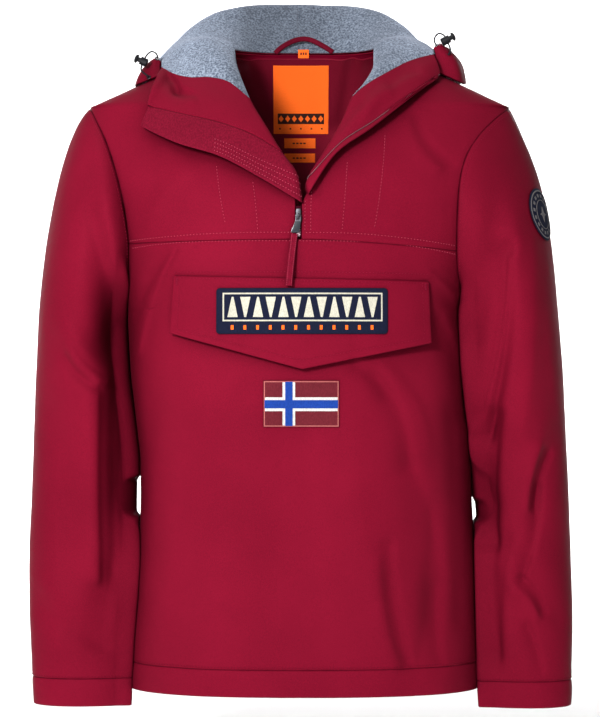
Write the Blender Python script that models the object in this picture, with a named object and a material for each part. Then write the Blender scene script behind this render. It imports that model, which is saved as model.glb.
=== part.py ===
"""Padded anorak pullover with a half zip, a folded-back hood and a chest pocket flap, filled out as if worn.

Metres. The front faces -Y, +Z is up, and "left" is -X. The origin lies between the two high shoulder points.
Tables hold millimetres. Each row of a table is a section, an edge point or a fold.
"""

import math

import bpy
import numpy as np
from mathutils import Vector
from mathutils.bvhtree import BVHTree

for old in list(bpy.data.objects):
    bpy.data.objects.remove(old)

MM = 0.001
SEAM = 0.15 * MM  # each piece is drawn back this far from its seam lines
CLOTH = 2.2 * MM  # padded shell of body and sleeves
BAND = 3.0 * MM  # hem and cuff bands
PLY = 1.8 * MM  # one ply of the hood
FRONT_COLUMNS = 20
SQUARENESS = 2.5  # exponent of the body sections

# ---------------------------------------------------------------- tables

SHOULDER_TIP = {"z": -70, "left": 241, "right": 236}
NECK_HALF_WIDTH = 88

# half widths of the body below the shoulder tips; between tip and armpit they run under the sleeve head
BODY_WIDTH = (
    # z, left, right
    (-70, 241, 236),
    (-105, 246, 240),
    (-132, 245, 237),
    (-163, 240, 229),
    (-193, 231, 217),
    (-225, 220, 205),
    (-260, 207.5, 193),
    (-285, 201.5, 186.8),
    (-300, 199, 184),
    (-322, 197.5, 184),
    (-351, 196, 185),
    (-378, 194, 187),
    (-407, 190.5, 189),
    (-440, 186.5, 191),
    (-472, 183.5, 192),
    (-514, 183.3, 193),
    (-545, 184.6, 195),
    (-576, 186, 198),
    (-618, 189.5, 200),
    (-646, 192.8, 201),
    (-671, 195, 201.6),
    (-695, 196.2, 202.4),
    (-725, 198, 204),
)

BODY_DEPTH = (
    # z, front, back
    (0, 20, 75),
    (-18, 38, 85),
    (-35, 54, 93),
    (-52, 67, 100),
    (-70, 79, 107),
    (-95, 94, 115),
    (-120, 108, 121.5),
    (-160, 124, 128),
    (-190, 131, 131),
    (-225, 135, 132),
    (-300, 139, 131),
    (-400, 139, 124),
    (-500, 137, 118),
    (-600, 135.5, 120),
    (-695, 134.5, 124),
    (-725, 134.5, 125),
)

# distance of the armhole seam from the middle, on the front and on the back
ARMHOLE = (
    # z, front left, front right, back left, back right
    (-70, 241, 236, 241, 236),
    (-89, 231, 214, 235, 228),
    (-111, 220, 194, 226, 217),
    (-134, 211.5, 181, 219, 208),
    (-157, 204.5, 175, 213, 201.5),
    (-180, 199, 172.5, 208, 196),
    (-202, 195, 171.5, 203.5, 191.5),
    (-225, 192.5, 171.5, 200.5, 188),
    (-247, 193, 172.8, 199, 185.5),
    (-268, 195, 175.5, 198, 183.8),
    (-287, 197.3, 180.5, 198.1, 183.2),
    (-295, 198.4, 182.8, 198.5, 183.4),
    (-300, 199, 184, 199, 184),
)

ROWS_BELOW = (-695, -665, -635, -605, -575, -545, -515, -485, -455, -425, -396, -369, -344, -321)
ROWS_ARMHOLE = (-300, -295, -287, -268, -247, -225, -202, -180, -157, -134, -111, -89, -70)
ROWS_SHOULDER = (-53, -36, -18, 0)
ROWS_HEM = (-725, -710, -695)
YOKE_ROW = -225
YOKE_DROP = {"left": -3, "right": -13}  # the yoke seam falls away from the middle towards each armhole

ZIP_EDGE = {"left": -7.6, "right": -0.4}
V_FOOT = -202  # where the open front closes

# the edge of each front yoke along the open neck
V_EDGE = (
    # z, left, right
    (0, -80.5, 84),
    (-18, -82, 88.5),
    (-36, -76.5, 81.5),
    (-53, -70, 71.5),
    (-70, -63, 61.5),
    (-89, -52, 49.5),
    (-111, -38, 39),
    (-134, -25, 29),
    (-157, -13.5, 14.5),
    (-180, -7.8, 2.6),
    (-187, -7.6, -0.2),
    (-202, -7.6, -0.4),
)

# sleeve rings: the outermost and innermost point, the middle in depth and half the depth
SLEEVE_LEFT = (
    # outer x, outer z, inner x, inner z, middle y, half depth, how far the inner side leans over the body
    (258, -92, 202.5, -306, 4, 104, 0),
    (275, -141, 203.5, -315, 4, 99, 8),
    (291.5, -227, 204, -330, 4, 93, 20),
    (299, -296, 202.5, -354, 4, 87, 26),
    (303, -366, 198.5, -394, 5, 80, 26),
    (306, -436, 191.5, -450, 5, 72, 24),
    (308, -506, 187.8, -511, 1, 64, 0),
    (309.5, -576, 190.2, -578, -8, 56, -20),
    (308.5, -640, 196, -641, -19, 47, -20),
    (306, -681, 199, -681, -27, 40, -16),
    (304, -712.5, 200.2, -712.5, -30, 36, -14),
)
SLEEVE_RIGHT = (
    # outer x, outer z, inner x, inner z, middle y, half depth, how far the inner side leans over the body
    (251, -98, 187.5, -305, 4, 102, 0),
    (271, -152, 188, -314, 4, 98, -8),
    (284.5, -225, 188, -329, 4, 92, -20),
    (291.5, -295, 188.2, -353, 4, 86, -26),
    (297, -366, 191, -394, 5, 80, -26),
    (300.8, -436, 194.5, -450, 5, 72, -24),
    (303.5, -506, 196.2, -511, 1, 64, -4),
    (305.5, -576, 201.5, -578, -8, 56, -20),
    (306, -640, 204.5, -641, -19, 47, -20),
    (305, -684, 206, -684, -27, 40, -16),
    (304, -716, 206.5, -716, -30, 36, -14),
)
CUFF_LEFT = (
    # outer x, outer z, inner x, inner z, middle y, half depth, how far the inner side leans over the body
    (303, -728, 200.3, -728, -31, 35, -12),
    (302.5, -743.5, 200.5, -743.5, -31, 35, -12),
)
CUFF_RIGHT = (
    # outer x, outer z, inner x, inner z, middle y, half depth, how far the inner side leans over the body
    (304, -731, 208, -731, -31, 35, -12),
    (303.5, -745.5, 209, -745.5, -31, 35, -12),
)

# The hood lies open on the back. One row is a section from the neck seam over the fold into the pouch and up
# to the rim: distance from the middle, y and z of the neck seam, of a point on the rise, of the fold, of the
# bottom of the pouch and of the rim. The neck seam is measured from the middle of the body, the others from
# that of the hood.
HOOD_MIDDLE = -4.5
HOOD_BACK = (
    # neck, rise, fold, bottom, rim
    ((0, 74.4, 1.1), (0, 101, 37), (0, 127, 63), (0, 176, -140), (0, 205, 38)),
    ((32.5, 71.9, 1.1), (31, 99, 37), (36, 125, 62.5), (34, 174, -136), (36, 203, 36)),
    ((56.5, 63.3, 1.1), (58, 91, 35), (70, 118, 59.5), (66, 170, -120), (74, 193, 31)),
    ((73.5, 49.4, 1.2), (80, 78, 30), (98, 106, 51), (100, 158, -92), (108, 176, 22)),
    ((83.5, 31.8, 1.4), (99, 57, 22), (122, 86, 34), (134, 136, -64), (138, 150, 8)),
    ((87, 18, 1.8), (110, 36, 13), (139, 61, 14), (158, 98, -50), (162, 116, -5)),
)
HOOD_ENDS = {
    "left": (
        ((86.5, 7, 3), (112, 16, 12), (150, 36, -1), (170, 60, -42), (166, 72, -6)),
        ((82.5, -3, 3), (112, 2, 9), (154, 17, -9), (175, 30, -41), (168, 38, -13)),
        ((78.5, -11, 0), (112, -8, 6), (154.5, 6, -15), (167, 9, -35), (177, 8, -20)),
    ),
    "right": (
        ((86, 7, 3), (114, 16, 13), (151, 40, 4), (174, 60, -38), (163, 74, 11)),
        ((85.5, -3, 2.5), (116, 2, 10), (153, 20, -2), (182, 30, -36), (168, 38, 3)),
        ((82.8, -13, -1), (114, -9, 6), (153.5, 2, -6), (167, 8, -29), (176, 6, -9)),
    ),
}
POUCH_BOTTOM = 5  # sample at the bottom of the pouch, where the channel pieces start

# The cord channel goes on from the pouch wall round its end to the collar front. One row is a section: rim,
# middle and bottom.
CHANNEL = {
    "left": (
        ((-171, 20, -14.5), (-184, 12, -30), (-188.5, -4, -44.8)),
        ((-168, 5, -14), (-180, -5, -27), (-183.5, -18, -43.4)),
        ((-165, -4, -14.5), (-171, -12, -25), (-174, -21, -40)),
        ((-162, -4, -17), (-161.5, -13, -27), (-162, -24, -36)),
    ),
    "right": (
        ((165, 22, 1.5), (178, 14, -17), (184, -5, -43)),
        ((160, 7, 1), (172, -5, -14), (177, -18, -41.4)),
        ((155, -2, 1), (161, -11, -13), (167, -21, -37.2)),
        ((150.5, -2, -2), (150.8, -10, -16), (153.5, -21, -31.4)),
    ),
}

# The turned-out collar fronts. Each row runs from the outer end to the rolled edge along the open neck.
COLLAR = {
    "left": (
        # roll depth share, outer end, three points across, rolled edge
        ("open", 1, (-159, -8, -19.5), (-130, -29, -17), (-106, -39, -13.5),
         (-87, -47, -18), (-72, -54, -34)),
        ("border", 1, (-158.7, -24, -27), (-126.2, -61, -41.5), (-102.9, -65, -41.9),
         (-82.9, -71, -47), (-58.8, -82.7, -67.9)),
        ("facing", 1, (-166, -63, -52), (-127, -82, -65), (-94, -89.5, -69),
         (-66.5, -95, -79), (-41, -102, -98.5)),
        ("seam", 1, (-170.4, -78, -75.7), (-130.2, -96.7, -86.1), (-87.5, -107.1, -96.9),
         (-53.7, -114.1, -110.4), (-21.9, -119, -131.1)),
        ("wind", 0.8, (-174.6, -83.5, -87), (-134, -106, -102), (-88.5, -118, -116),
         (-48.5, -125, -135), (-6.2, -129.5, -154)),
        ("edge", 0.3, (-178.4, -87.6, -97.7), (-137.7, -113.4, -118.6), (-89.5, -126.8, -134.5),
         (-43.6, -134.2, -159.5), (-0.5, -136.5, -185.7)),
    ),
    "right": (
        ("open", 1, (149.5, -6, -6), (129, -24, -8), (108, -38, -11.5), (94, -46, -17), (79, -54, -33)),
        ("border", 1, (149.5, -12, -10.5), (117, -41.5, -22.5), (87.6, -68.5, -40.5),
         (70, -77.5, -52.5), (56, -82, -66.1)),
        ("facing", 1, (152, -26, -21), (119, -66, -42), (84, -90, -65),
         (58.5, -101, -87), (34, -108.5, -114)),
        ("teeth", 0.8, (154.4, -36, -35.9), (119.8, -82.5, -63.4), (80.3, -104, -93.6),
         (44.1, -118.5, -118.5), (6.8, -131, -160)),
        ("edge", 0.3, (150.2, -50.5, -42.8), (115.1, -89, -69.9), (74.6, -112, -103.4),
         (38, -126.2, -130.6), (7, -136, -176)),
    ),
}

# pocket flap: top edge and pointed lower edge
FLAP_TOP = ((-141.2, -264.7), (139.7, -270.6))
FLAP_FOOT = ((-145.7, -327.1), (0, -366.4), (142.8, -338.0))

# soft folds: surface, start x, start z, end x, end z, width, height
FOLDS = (
    ("front", -150, -262, -118, -395, 24, 2.6),
    ("front", -176, -330, -160, -470, 20, -2.2),
    ("front", 108, -340, 150, -640, 30, -3.0),
    ("front", 60, -420, 96, -640, 34, 2.0),
    ("front", 98, -610, 118, -690, 14, -2.4),
    ("front", -60, -470, -95, -660, 38, 2.2),
    ("front", -120, -560, -140, -690, 20, -2.0),
    ("back", -120, -210, -60, -420, 30, -3.0),
    ("back", 118, -205, 70, -400, 30, -2.6),
    ("back", -30, -300, -50, -640, 40, 2.6),
    ("back", 90, -440, 120, -680, 26, 2.2),
    ("back", -150, -420, -135, -660, 24, -2.4),
    ("left", -236, -150, -214, -330, 16, -4.0),
    ("left", -256, -330, -222, -372, 12, 3.4),
    ("left", -236, -400, -236, -585, 16, 3.2),
    ("left", -276, -420, -262, -560, 16, -2.4),
    ("left", -285, -640, -215, -676, 11, -2.2),
    ("left", -280, -612, -212, -640, 11, 2.0),
    ("right", 236, -215, 196, -430, 12, 3.0),
    ("right", 212, -200, 190, -330, 14, -3.6),
    ("right", 280, -455, 262, -530, 12, -3.0),
    ("right", 248, -585, 284, -640, 12, -2.6),
    ("right", 226, -600, 230, -690, 16, 2.2),
)


# ---------------------------------------------------------------- curves


def smooth(knots, values, at):
    """A monotone cubic through a short table."""
    x = np.asarray(knots, float)
    y = np.asarray(values, float)
    if x[0] > x[-1]:
        x, y = x[::-1], y[::-1]
    at = np.clip(np.asarray(at, float), x[0], x[-1])
    step = np.diff(x)
    rise = np.diff(y) / step
    slope = np.zeros_like(y)
    slope[0], slope[-1] = rise[0], rise[-1]
    for i in range(1, len(x) - 1):
        if rise[i - 1] * rise[i] > 0:
            near, far = 2 * step[i] + step[i - 1], step[i] + 2 * step[i - 1]
            slope[i] = (near + far) / (near / rise[i - 1] + far / rise[i])
    k = np.clip(np.searchsorted(x, at, side="right") - 1, 0, len(step) - 1)
    t = (at - x[k]) / step[k]
    t2, t3 = t * t, t * t * t
    return (
        (2 * t3 - 3 * t2 + 1) * y[k]
        + (t3 - 2 * t2 + t) * step[k] * slope[k]
        + (3 * t2 - 2 * t3) * y[k + 1]
        + (t3 - t2) * step[k] * slope[k + 1]
    )


def through(points, count, bunch=None):
    """count points on a smooth curve through the given ones, even in length or at the fractions in bunch."""
    p = np.asarray(points, float)
    gap = np.maximum(np.linalg.norm(np.diff(p, axis=0), axis=1), 1e-6) ** 0.5
    knot = np.concatenate(([0.0], np.cumsum(gap)))
    tangent = np.zeros_like(p)
    for i in range(1, len(p) - 1):
        a, b = knot[i] - knot[i - 1], knot[i + 1] - knot[i]
        tangent[i] = ((p[i] - p[i - 1]) / a * b + (p[i + 1] - p[i]) / b * a) / (a + b)
    tangent[0] = 2 * (p[1] - p[0]) / (knot[1] - knot[0]) - tangent[1]
    tangent[-1] = 2 * (p[-1] - p[-2]) / (knot[-1] - knot[-2]) - tangent[-2]
    fine = np.linspace(0, knot[-1], 40 * len(p))
    k = np.clip(np.searchsorted(knot, fine, side="right") - 1, 0, len(p) - 2)
    width = (knot[k + 1] - knot[k])[:, None]
    t = ((fine - knot[k]) / width[:, 0])[:, None]
    t2, t3 = t * t, t * t * t
    line = (
        (2 * t3 - 3 * t2 + 1) * p[k]
        + (t3 - 2 * t2 + t) * width * tangent[k]
        + (3 * t2 - 2 * t3) * p[k + 1]
        + (t3 - t2) * width * tangent[k + 1]
    )
    run = np.concatenate(([0.0], np.cumsum(np.linalg.norm(np.diff(line, axis=0), axis=1))))
    at = np.linspace(0, 1, count) if bunch is None else np.asarray(bunch, float)
    return np.stack([np.interp(at * run[-1], run, line[:, i]) for i in range(3)], axis=1)


# ---------------------------------------------------------------- the body form


def half_width(z, side):
    tip = SHOULDER_TIP[side] * MM
    table = np.array(BODY_WIDTH, float) * MM
    below = smooth(table[:, 0], table[:, 1 if side == "left" else 2], z)
    neck = NECK_HALF_WIDTH * MM
    above = neck + (tip - neck) * np.clip(np.asarray(z) / (SHOULDER_TIP["z"] * MM), 0, 1)
    return np.where(np.asarray(z) > SHOULDER_TIP["z"] * MM, above, below)


def depth(z, back):
    table = np.array(BODY_DEPTH, float) * MM
    return smooth(table[:, 0], table[:, 2 if back else 1], z)


def body_y(x, z, back=False):
    """Depth coordinate of the body surface at x, z."""
    x = np.asarray(x, float)
    half = np.where(x < 0, half_width(z, "left"), half_width(z, "right"))
    share = np.clip(np.abs(x) / half, 0, 1)
    out = depth(z, back) * (1 - share**SQUARENESS) ** (1 / SQUARENESS)
    return out if back else -out


def seam_drop(x, row):
    """How far a row of the front leaves its height, so that the yoke seam falls towards the armholes."""
    near = np.clip(1 - abs(row - YOKE_ROW) / 50, 0, 1)
    share = np.clip(np.abs(x) / 0.19, 0, 1) ** 1.4
    fall = np.where(x < 0, YOKE_DROP["left"], YOKE_DROP["right"]) * MM
    return fall * share * near


def fold_height(x, z, surface):
    total = np.zeros_like(np.asarray(x, float))
    for where, x0, z0, x1, z1, width, height in FOLDS:
        if where != surface:
            continue
        start = np.array((x0, z0)) * MM
        along = np.array((x1, z1)) * MM - start
        length = np.linalg.norm(along)
        unit = along / length
        dx, dz = x - start[0], z - start[1]
        t = dx * unit[0] + dz * unit[1]
        off = dx * unit[1] - dz * unit[0]
        past = np.maximum(np.maximum(-t, t - length), 0)
        ridge = np.exp(-((off / (width * MM)) ** 2)) * np.exp(-((past / (1.6 * width * MM)) ** 2))
        total += height * MM * ridge
    return total


def body_row(row, x_from, x_to, columns, back):
    """columns + 1 points of the body at one height, evenly spaced, from x_from to x_to."""
    z = row * MM
    left, right = float(half_width(z, "left")), float(half_width(z, "right"))

    def angle(x):
        half = left if x < 0 else right
        c = np.clip(abs(x) / half, 0, 1) ** (SQUARENESS / 2)
        return math.acos(math.copysign(c, x))

    t = np.linspace(angle(x_from), angle(x_to), 600)
    c = np.cos(t)
    x = np.sign(c) * np.abs(c) ** (2 / SQUARENESS) * np.where(c < 0, left, right)
    zs = z + (0 if back else seam_drop(x, row))
    y = body_y(x, zs, back)
    away = np.clip(np.abs(y) / 0.05, 0, 1) ** 2
    swell = fold_height(x, zs, "back" if back else "front") * away * (3 - 2 * away)
    y = y + (swell if back else -swell)
    line = np.stack([x, y, zs + np.zeros_like(x)], axis=1)
    run = np.concatenate(([0.0], np.cumsum(np.linalg.norm(np.diff(line, axis=0), axis=1))))
    at = np.linspace(0, run[-1], columns + 1)
    return np.stack([np.interp(at, run, line[:, i]) for i in range(3)], axis=1)


def limit(row, side, back):
    """x of the outer edge of a body panel at one row: side seam, armhole or shoulder seam."""
    sign = -1 if side == "left" else 1
    if -300 < row < -70:
        table = np.array(ARMHOLE, float)
        column = {(False, "left"): 1, (False, "right"): 2, (True, "left"): 3, (True, "right"): 4}
        return sign * float(smooth(table[:, 0], table[:, column[(back, side)]], row)) * MM
    return sign * float(half_width(row * MM, side))


def neck_edge(row, side):
    if row <= V_FOOT:
        return ZIP_EDGE[side] * MM
    table = np.array(V_EDGE, float)
    return float(smooth(table[:, 0], table[:, 1 if side == "left" else 2], row)) * MM


# ---------------------------------------------------------------- making solids


def grid_cells(rows, columns, closed=False, keep=None):
    """Quads of a grid whose rows are stored one after the other."""
    cells = []
    for r in range(rows - 1):
        for c in range(columns if closed else columns - 1):
            if keep is None or keep(r, c):
                d = (c + 1) % columns
                cells.append((r * columns + c, r * columns + d, (r + 1) * columns + d, (r + 1) * columns + c))
    return cells


def cell_normals(points, cells):
    p = points[np.array(cells)]
    return np.cross(p[:, 2] - p[:, 0], p[:, 3] - p[:, 1])


def shared_normals(panels):
    """Unit normals of several panels whose common points count once, so that neighbours keep one edge.

    The groups meet at sharp seams, so each group has one vote there, whatever the size of its cells.
    """
    everything = np.concatenate([panel["points"] for panel in panels.values()])
    _, index = np.unique(np.round(everything, 6), axis=0, return_inverse=True)
    index = index.ravel()
    votes = {}
    start = 0
    for panel in panels.values():
        size = len(panel["points"])
        own = index[start : start + size]
        normals = cell_normals(panel["points"], panel["cells"])
        total = votes.setdefault(panel["group"], np.zeros((index.max() + 1, 3)))
        for corner in range(4):
            np.add.at(total, own[np.array(panel["cells"])[:, corner]], normals)
        panel["index"] = own
        start += size
    total = np.zeros((index.max() + 1, 3))
    for vote in votes.values():
        total += vote / np.maximum(np.linalg.norm(vote, axis=1, keepdims=True), 1e-12)
    total /= np.maximum(np.linalg.norm(total, axis=1, keepdims=True), 1e-12)
    for panel in panels.values():
        panel["normals"] = total[panel["index"]]


def own_normals(points, cells):
    total = np.zeros_like(points)
    normals = cell_normals(points, cells)
    for corner in range(4):
        np.add.at(total, np.array(cells)[:, corner], normals)
    return total / np.maximum(np.linalg.norm(total, axis=1, keepdims=True), 1e-12)


def border(cells):
    """Directed edges that belong to one cell only."""
    count = {}
    for cell in cells:
        for a, b in zip(cell, cell[1:] + cell[:1]):
            count[(a, b)] = True
    return [(a, b) for (a, b) in count if (b, a) not in count]


def draw_back(points, cells, distance):
    """Moves the border points of a sheet into the sheet."""
    edges = border(cells)
    owner = {}
    for cell in cells:
        for a, b in zip(cell, cell[1:] + cell[:1]):
            owner[(a, b)] = cell
    inward = {}
    for a, b in edges:
        along = points[b] - points[a]
        along = along / max(np.linalg.norm(along), 1e-9)
        to = points[list(owner[(a, b)])].mean(axis=0) - (points[a] + points[b]) / 2
        to = to - along * np.dot(to, along)
        to = to / max(np.linalg.norm(to), 1e-9)
        inward.setdefault(a, []).append(to)
        inward.setdefault(b, []).append(to)
    moved = points.copy()
    for v, ways in inward.items():
        total = np.sum(ways, axis=0)
        size = np.linalg.norm(total)
        if size > 1e-6:
            unit = total / size
            grip = max(np.mean([np.dot(unit, w) for w in ways]), 0.5)
            moved[v] += unit * distance / grip
    return moved


def material(name, colour, roughness=0.75, metallic=0.0, sheen=0.0):
    made = bpy.data.materials.new(name)
    made.use_nodes = True
    shader = made.node_tree.nodes["Principled BSDF"]
    shader.inputs["Base Color"].default_value = (*colour, 1)
    shader.inputs["Roughness"].default_value = roughness
    shader.inputs["Metallic"].default_value = metallic
    shader.inputs["Sheen Weight"].default_value = sheen
    made.diffuse_color = (*colour, 1)
    return made


def new_object(name, points, faces, look):
    mesh = bpy.data.meshes.new(name)
    mesh.from_pydata([tuple(p) for p in points], [], [tuple(f) for f in faces])
    mesh.validate()
    made = bpy.data.objects.new(name, mesh)
    bpy.context.scene.collection.objects.link(made)
    mesh.materials.append(material(name, *look))
    return made


def sheet(name, outer, inner, cells, look, pull=SEAM):
    """A closed solid between an outer and an inner copy of one sheet of quads."""
    used = sorted({v for cell in cells for v in cell})
    place = {v: i for i, v in enumerate(used)}
    quads = [tuple(place[v] for v in cell) for cell in cells]
    outside, inside = outer[used], inner[used]
    if pull:
        outside, inside = draw_back(outside, quads, pull), draw_back(inside, quads, 2.4 * pull)
    size = len(used)
    faces = []
    for a, b, c, d in quads:
        if np.linalg.norm(outside[b] - outside[d]) < np.linalg.norm(outside[a] - outside[c]):
            a, b, c, d = b, c, d, a
        faces += [(a, b, c), (a, c, d)]
        faces += [(a + size, c + size, b + size), (a + size, d + size, c + size)]
    for a, b in border(quads):
        faces += [(b, a, a + size), (b, a + size, b + size)]
    return new_object(name, np.concatenate([outside, inside]), faces, look)


RED = ((0.27, 0.006, 0.026), 0.62, 0.0, 0.25)
DARK_RED = ((0.12, 0.004, 0.014), 0.6, 0.0, 0.1)
FLEECE = ((0.30, 0.33, 0.39), 0.95, 0.0, 0.6)
ORANGE = ((1.0, 0.20, 0.035), 0.7, 0.0, 0.0)
NAVY = ((0.012, 0.014, 0.032), 0.8, 0.0, 0.2)
FLAG_RED = ((0.20, 0.02, 0.03), 0.8, 0.0, 0.2)
BLACK = ((0.012, 0.012, 0.013), 0.45, 0.0, 0.0)
METAL = ((0.35, 0.34, 0.33), 0.35, 0.9, 0.0)

# ---------------------------------------------------------------- body and sleeves as one skin

lower_rows = ROWS_BELOW + tuple(r for r in ROWS_ARMHOLE if r <= YOKE_ROW)
yoke_rows = tuple(r for r in ROWS_ARMHOLE if r >= YOKE_ROW) + ROWS_SHOULDER
back_rows = ROWS_BELOW + ROWS_ARMHOLE + ROWS_SHOULDER
half = FRONT_COLUMNS // 2


def stack(rows):
    return np.concatenate(rows)


def armhole_rows(rows, grid, column):
    return {row: grid[i][column] for i, row in enumerate(rows) if -300 <= row <= -70}


lower = [
    body_row(r, limit(r, "left", False), limit(r, "right", False), FRONT_COLUMNS, False) for r in lower_rows
]
yoke_l = [body_row(r, limit(r, "left", False), neck_edge(r, "left"), half, False) for r in yoke_rows]
yoke_r = [body_row(r, neck_edge(r, "right"), limit(r, "right", False), half, False) for r in yoke_rows]
rear = [body_row(r, limit(r, "right", True), limit(r, "left", True), FRONT_COLUMNS, True) for r in back_rows]


def hem_row(row):
    front = body_row(row, limit(row, "left", False), limit(row, "right", False), FRONT_COLUMNS, False)
    back = body_row(row, limit(row, "right", True), limit(row, "left", True), FRONT_COLUMNS, True)
    return np.concatenate([front[:-1], back[:-1]])


hem = [hem_row(r) for r in ROWS_HEM]


def sleeve_rings(side):
    """Rings of a sleeve, the first one on the armhole; each starts at the shoulder and runs down the front."""
    sign = -1 if side == "left" else 1
    front = armhole_rows(lower_rows, lower, 0 if side == "left" else FRONT_COLUMNS)
    front.update(armhole_rows(yoke_rows, yoke_l if side == "left" else yoke_r, 0 if side == "left" else half))
    back = armhole_rows(back_rows, rear, FRONT_COLUMNS if side == "left" else 0)
    down = [front[r] for r in sorted(front, reverse=True)]
    up = [back[r] for r in sorted(back)]
    first = np.array(down + up[1:-1])
    turn = len(down) - 1

    def share(points):
        run = np.concatenate(([0.0], np.cumsum(np.linalg.norm(np.diff(points, axis=0), axis=1))))
        return run / run[-1]

    a = np.concatenate([share(np.array(down)) * math.pi, math.pi + share(np.array(up))[1:-1] * math.pi])
    tip, pit = first[0], first[turn]

    def ellipse(outer, inner, middle, deep):
        centre = (outer + inner) / 2
        reach = (outer - inner) / 2
        ring = centre + np.cos(a)[:, None] * reach
        ring[:, 1] = middle - np.sin(a) * deep
        return ring

    low, high = first[:, 1].min(), first[:, 1].max()
    start = ellipse(tip, pit, (low + high) / 2, (high - low) / 2)
    lean = first - start
    rings = [first]
    table = (SLEEVE_LEFT + CUFF_LEFT) if side == "left" else (SLEEVE_RIGHT + CUFF_RIGHT)
    keep = (0.72, 0.34, 0.10)
    for i, (ox, oz, ix, iz, y, deep, lean_over) in enumerate(table):
        outer = np.array((sign * ox, y, oz)) * MM
        inner = np.array((sign * ix, y, iz)) * MM
        ring = ellipse(outer, inner, y * MM, deep * MM)
        place = math.pi - math.copysign(0.75, -lean_over)
        near = np.exp(-(((a - place) / 0.45) ** 2))
        ring[:, 0] -= sign * abs(lean_over) * MM * near
        if i < len(keep):
            ring = ring + lean * keep[i]
        if i < len(table) - 4:
            middle = ring.mean(axis=0)
            away = ring - middle
            away /= np.linalg.norm(away, axis=1, keepdims=True)
            facing = np.clip(-away[:, 1] * 1.6, 0, 1)
            behind = np.clip(away[:, 1] * 1.6, 0, 1)
            swell = fold_height(ring[:, 0], ring[:, 2], side)
            other = fold_height(ring[:, 0] * 0.97 - sign * 0.006, ring[:, 2] + 0.03, side)
            ring = ring + away * (swell * facing + 0.8 * other * behind)[:, None]
        rings.append(clear_of_body(ring, side, 1.6 + 0.5 * min(i, 3)))
    return rings


def clear_of_body(ring, side, gap):
    """Moves the points of a sleeve ring outwards where the body is in their way."""
    sign = -1 if side == "left" else 1
    moved = ring.copy()
    for point in moved:
        x, y, z = point
        if z > -0.26:
            continue
        back = y > 0
        share = min(abs(y) / float(depth(z, back)), 1)
        edge = float(half_width(z, side)) * (1 - share**SQUARENESS) ** (1 / SQUARENESS)
        if z > -0.3:
            edge = min(edge, abs(limit(z / MM, side, back)))
        point[0] = sign * max(abs(x), edge + gap * MM)
    return moved


arm_l = sleeve_rings("left")
arm_r = sleeve_rings("right")
around = len(arm_l[0])


def mirror_turn(rings):
    """The right sleeve runs the other way round, so that its normals point out too."""
    return [np.concatenate([ring[:1], ring[:0:-1]]) for ring in rings]


arm_l, arm_r = arm_l[::-1], mirror_turn(arm_r[::-1])
CUFF_STEPS = 2

skin = {
    "front_lower": dict(points=stack(lower), cells=grid_cells(len(lower), FRONT_COLUMNS + 1)),
    "front_yoke_left": dict(points=stack(yoke_l), cells=grid_cells(len(yoke_l), half + 1)),
    "front_yoke_right": dict(points=stack(yoke_r), cells=grid_cells(len(yoke_r), half + 1)),
    "back": dict(points=stack(rear), cells=grid_cells(len(rear), FRONT_COLUMNS + 1)),
    "hem_band": dict(points=stack(hem), cells=grid_cells(len(hem), 2 * FRONT_COLUMNS, True)),
}
for panel in skin.values():
    panel["group"] = "body"
for side, rings in (("left", arm_l), ("right", arm_r)):
    cuff, arm = rings[: CUFF_STEPS + 1], rings[CUFF_STEPS:]
    skin["cuff_" + side] = dict(points=stack(cuff), cells=grid_cells(len(cuff), around, True), group=side)
    skin["sleeve_" + side] = dict(points=stack(arm), cells=grid_cells(len(arm), around, True), group=side)
shared_normals(skin)
for name, panel in skin.items():
    thick = BAND if name.startswith(("hem", "cuff")) else CLOTH
    panel["inner"] = panel["points"] - panel["normals"] * thick
    sheet(name, panel["points"], panel["inner"], panel["cells"], RED)


# ---------------------------------------------------------------- hood and turned-out collar

ACROSS = (0, 0.025, 0.06, 0.14, 0.28, 0.45, 0.64, 0.82, 1)  # samples from the neck to the outer end
POUCH = 9  # samples from the fold to the rim
AIR = 0.2 * MM  # from the middle of the hood to each ply
FACING = 2.6 * MM


def body_normal(x, z, back=False):
    step = 0.5 * MM
    across = float(body_y(x + step, z, back) - body_y(x - step, z, back)) / (2 * step)
    up = float(body_y(x, z + step, back) - body_y(x, z - step, back)) / (2 * step)
    way = np.array((across, -1.0, up))
    way /= np.linalg.norm(way)
    return -way if back else way


def rolled(row):
    """Section of a collar front from the edge tucked into the open neck to the outer end."""
    roll = row[1]
    outer, first, second, third, edge = (np.array(p, float) * MM for p in row[2:])
    out = third - edge
    out /= np.linalg.norm(out)
    up = body_normal(edge[0], min(edge[2], -4 * MM))
    side = up - out * np.dot(up, out)
    side /= np.linalg.norm(side)
    tuck = edge + out * 0.4 * MM - side * 6.2 * roll * MM
    turn = edge - side * 3.0 * roll * MM
    crest = edge + out * 1.2 * MM
    top = edge + out * 5.0 * MM + side * 0.8 * MM
    return through([tuck, turn, crest, top, third, second, first, outer], 0, ACROSS)


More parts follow.
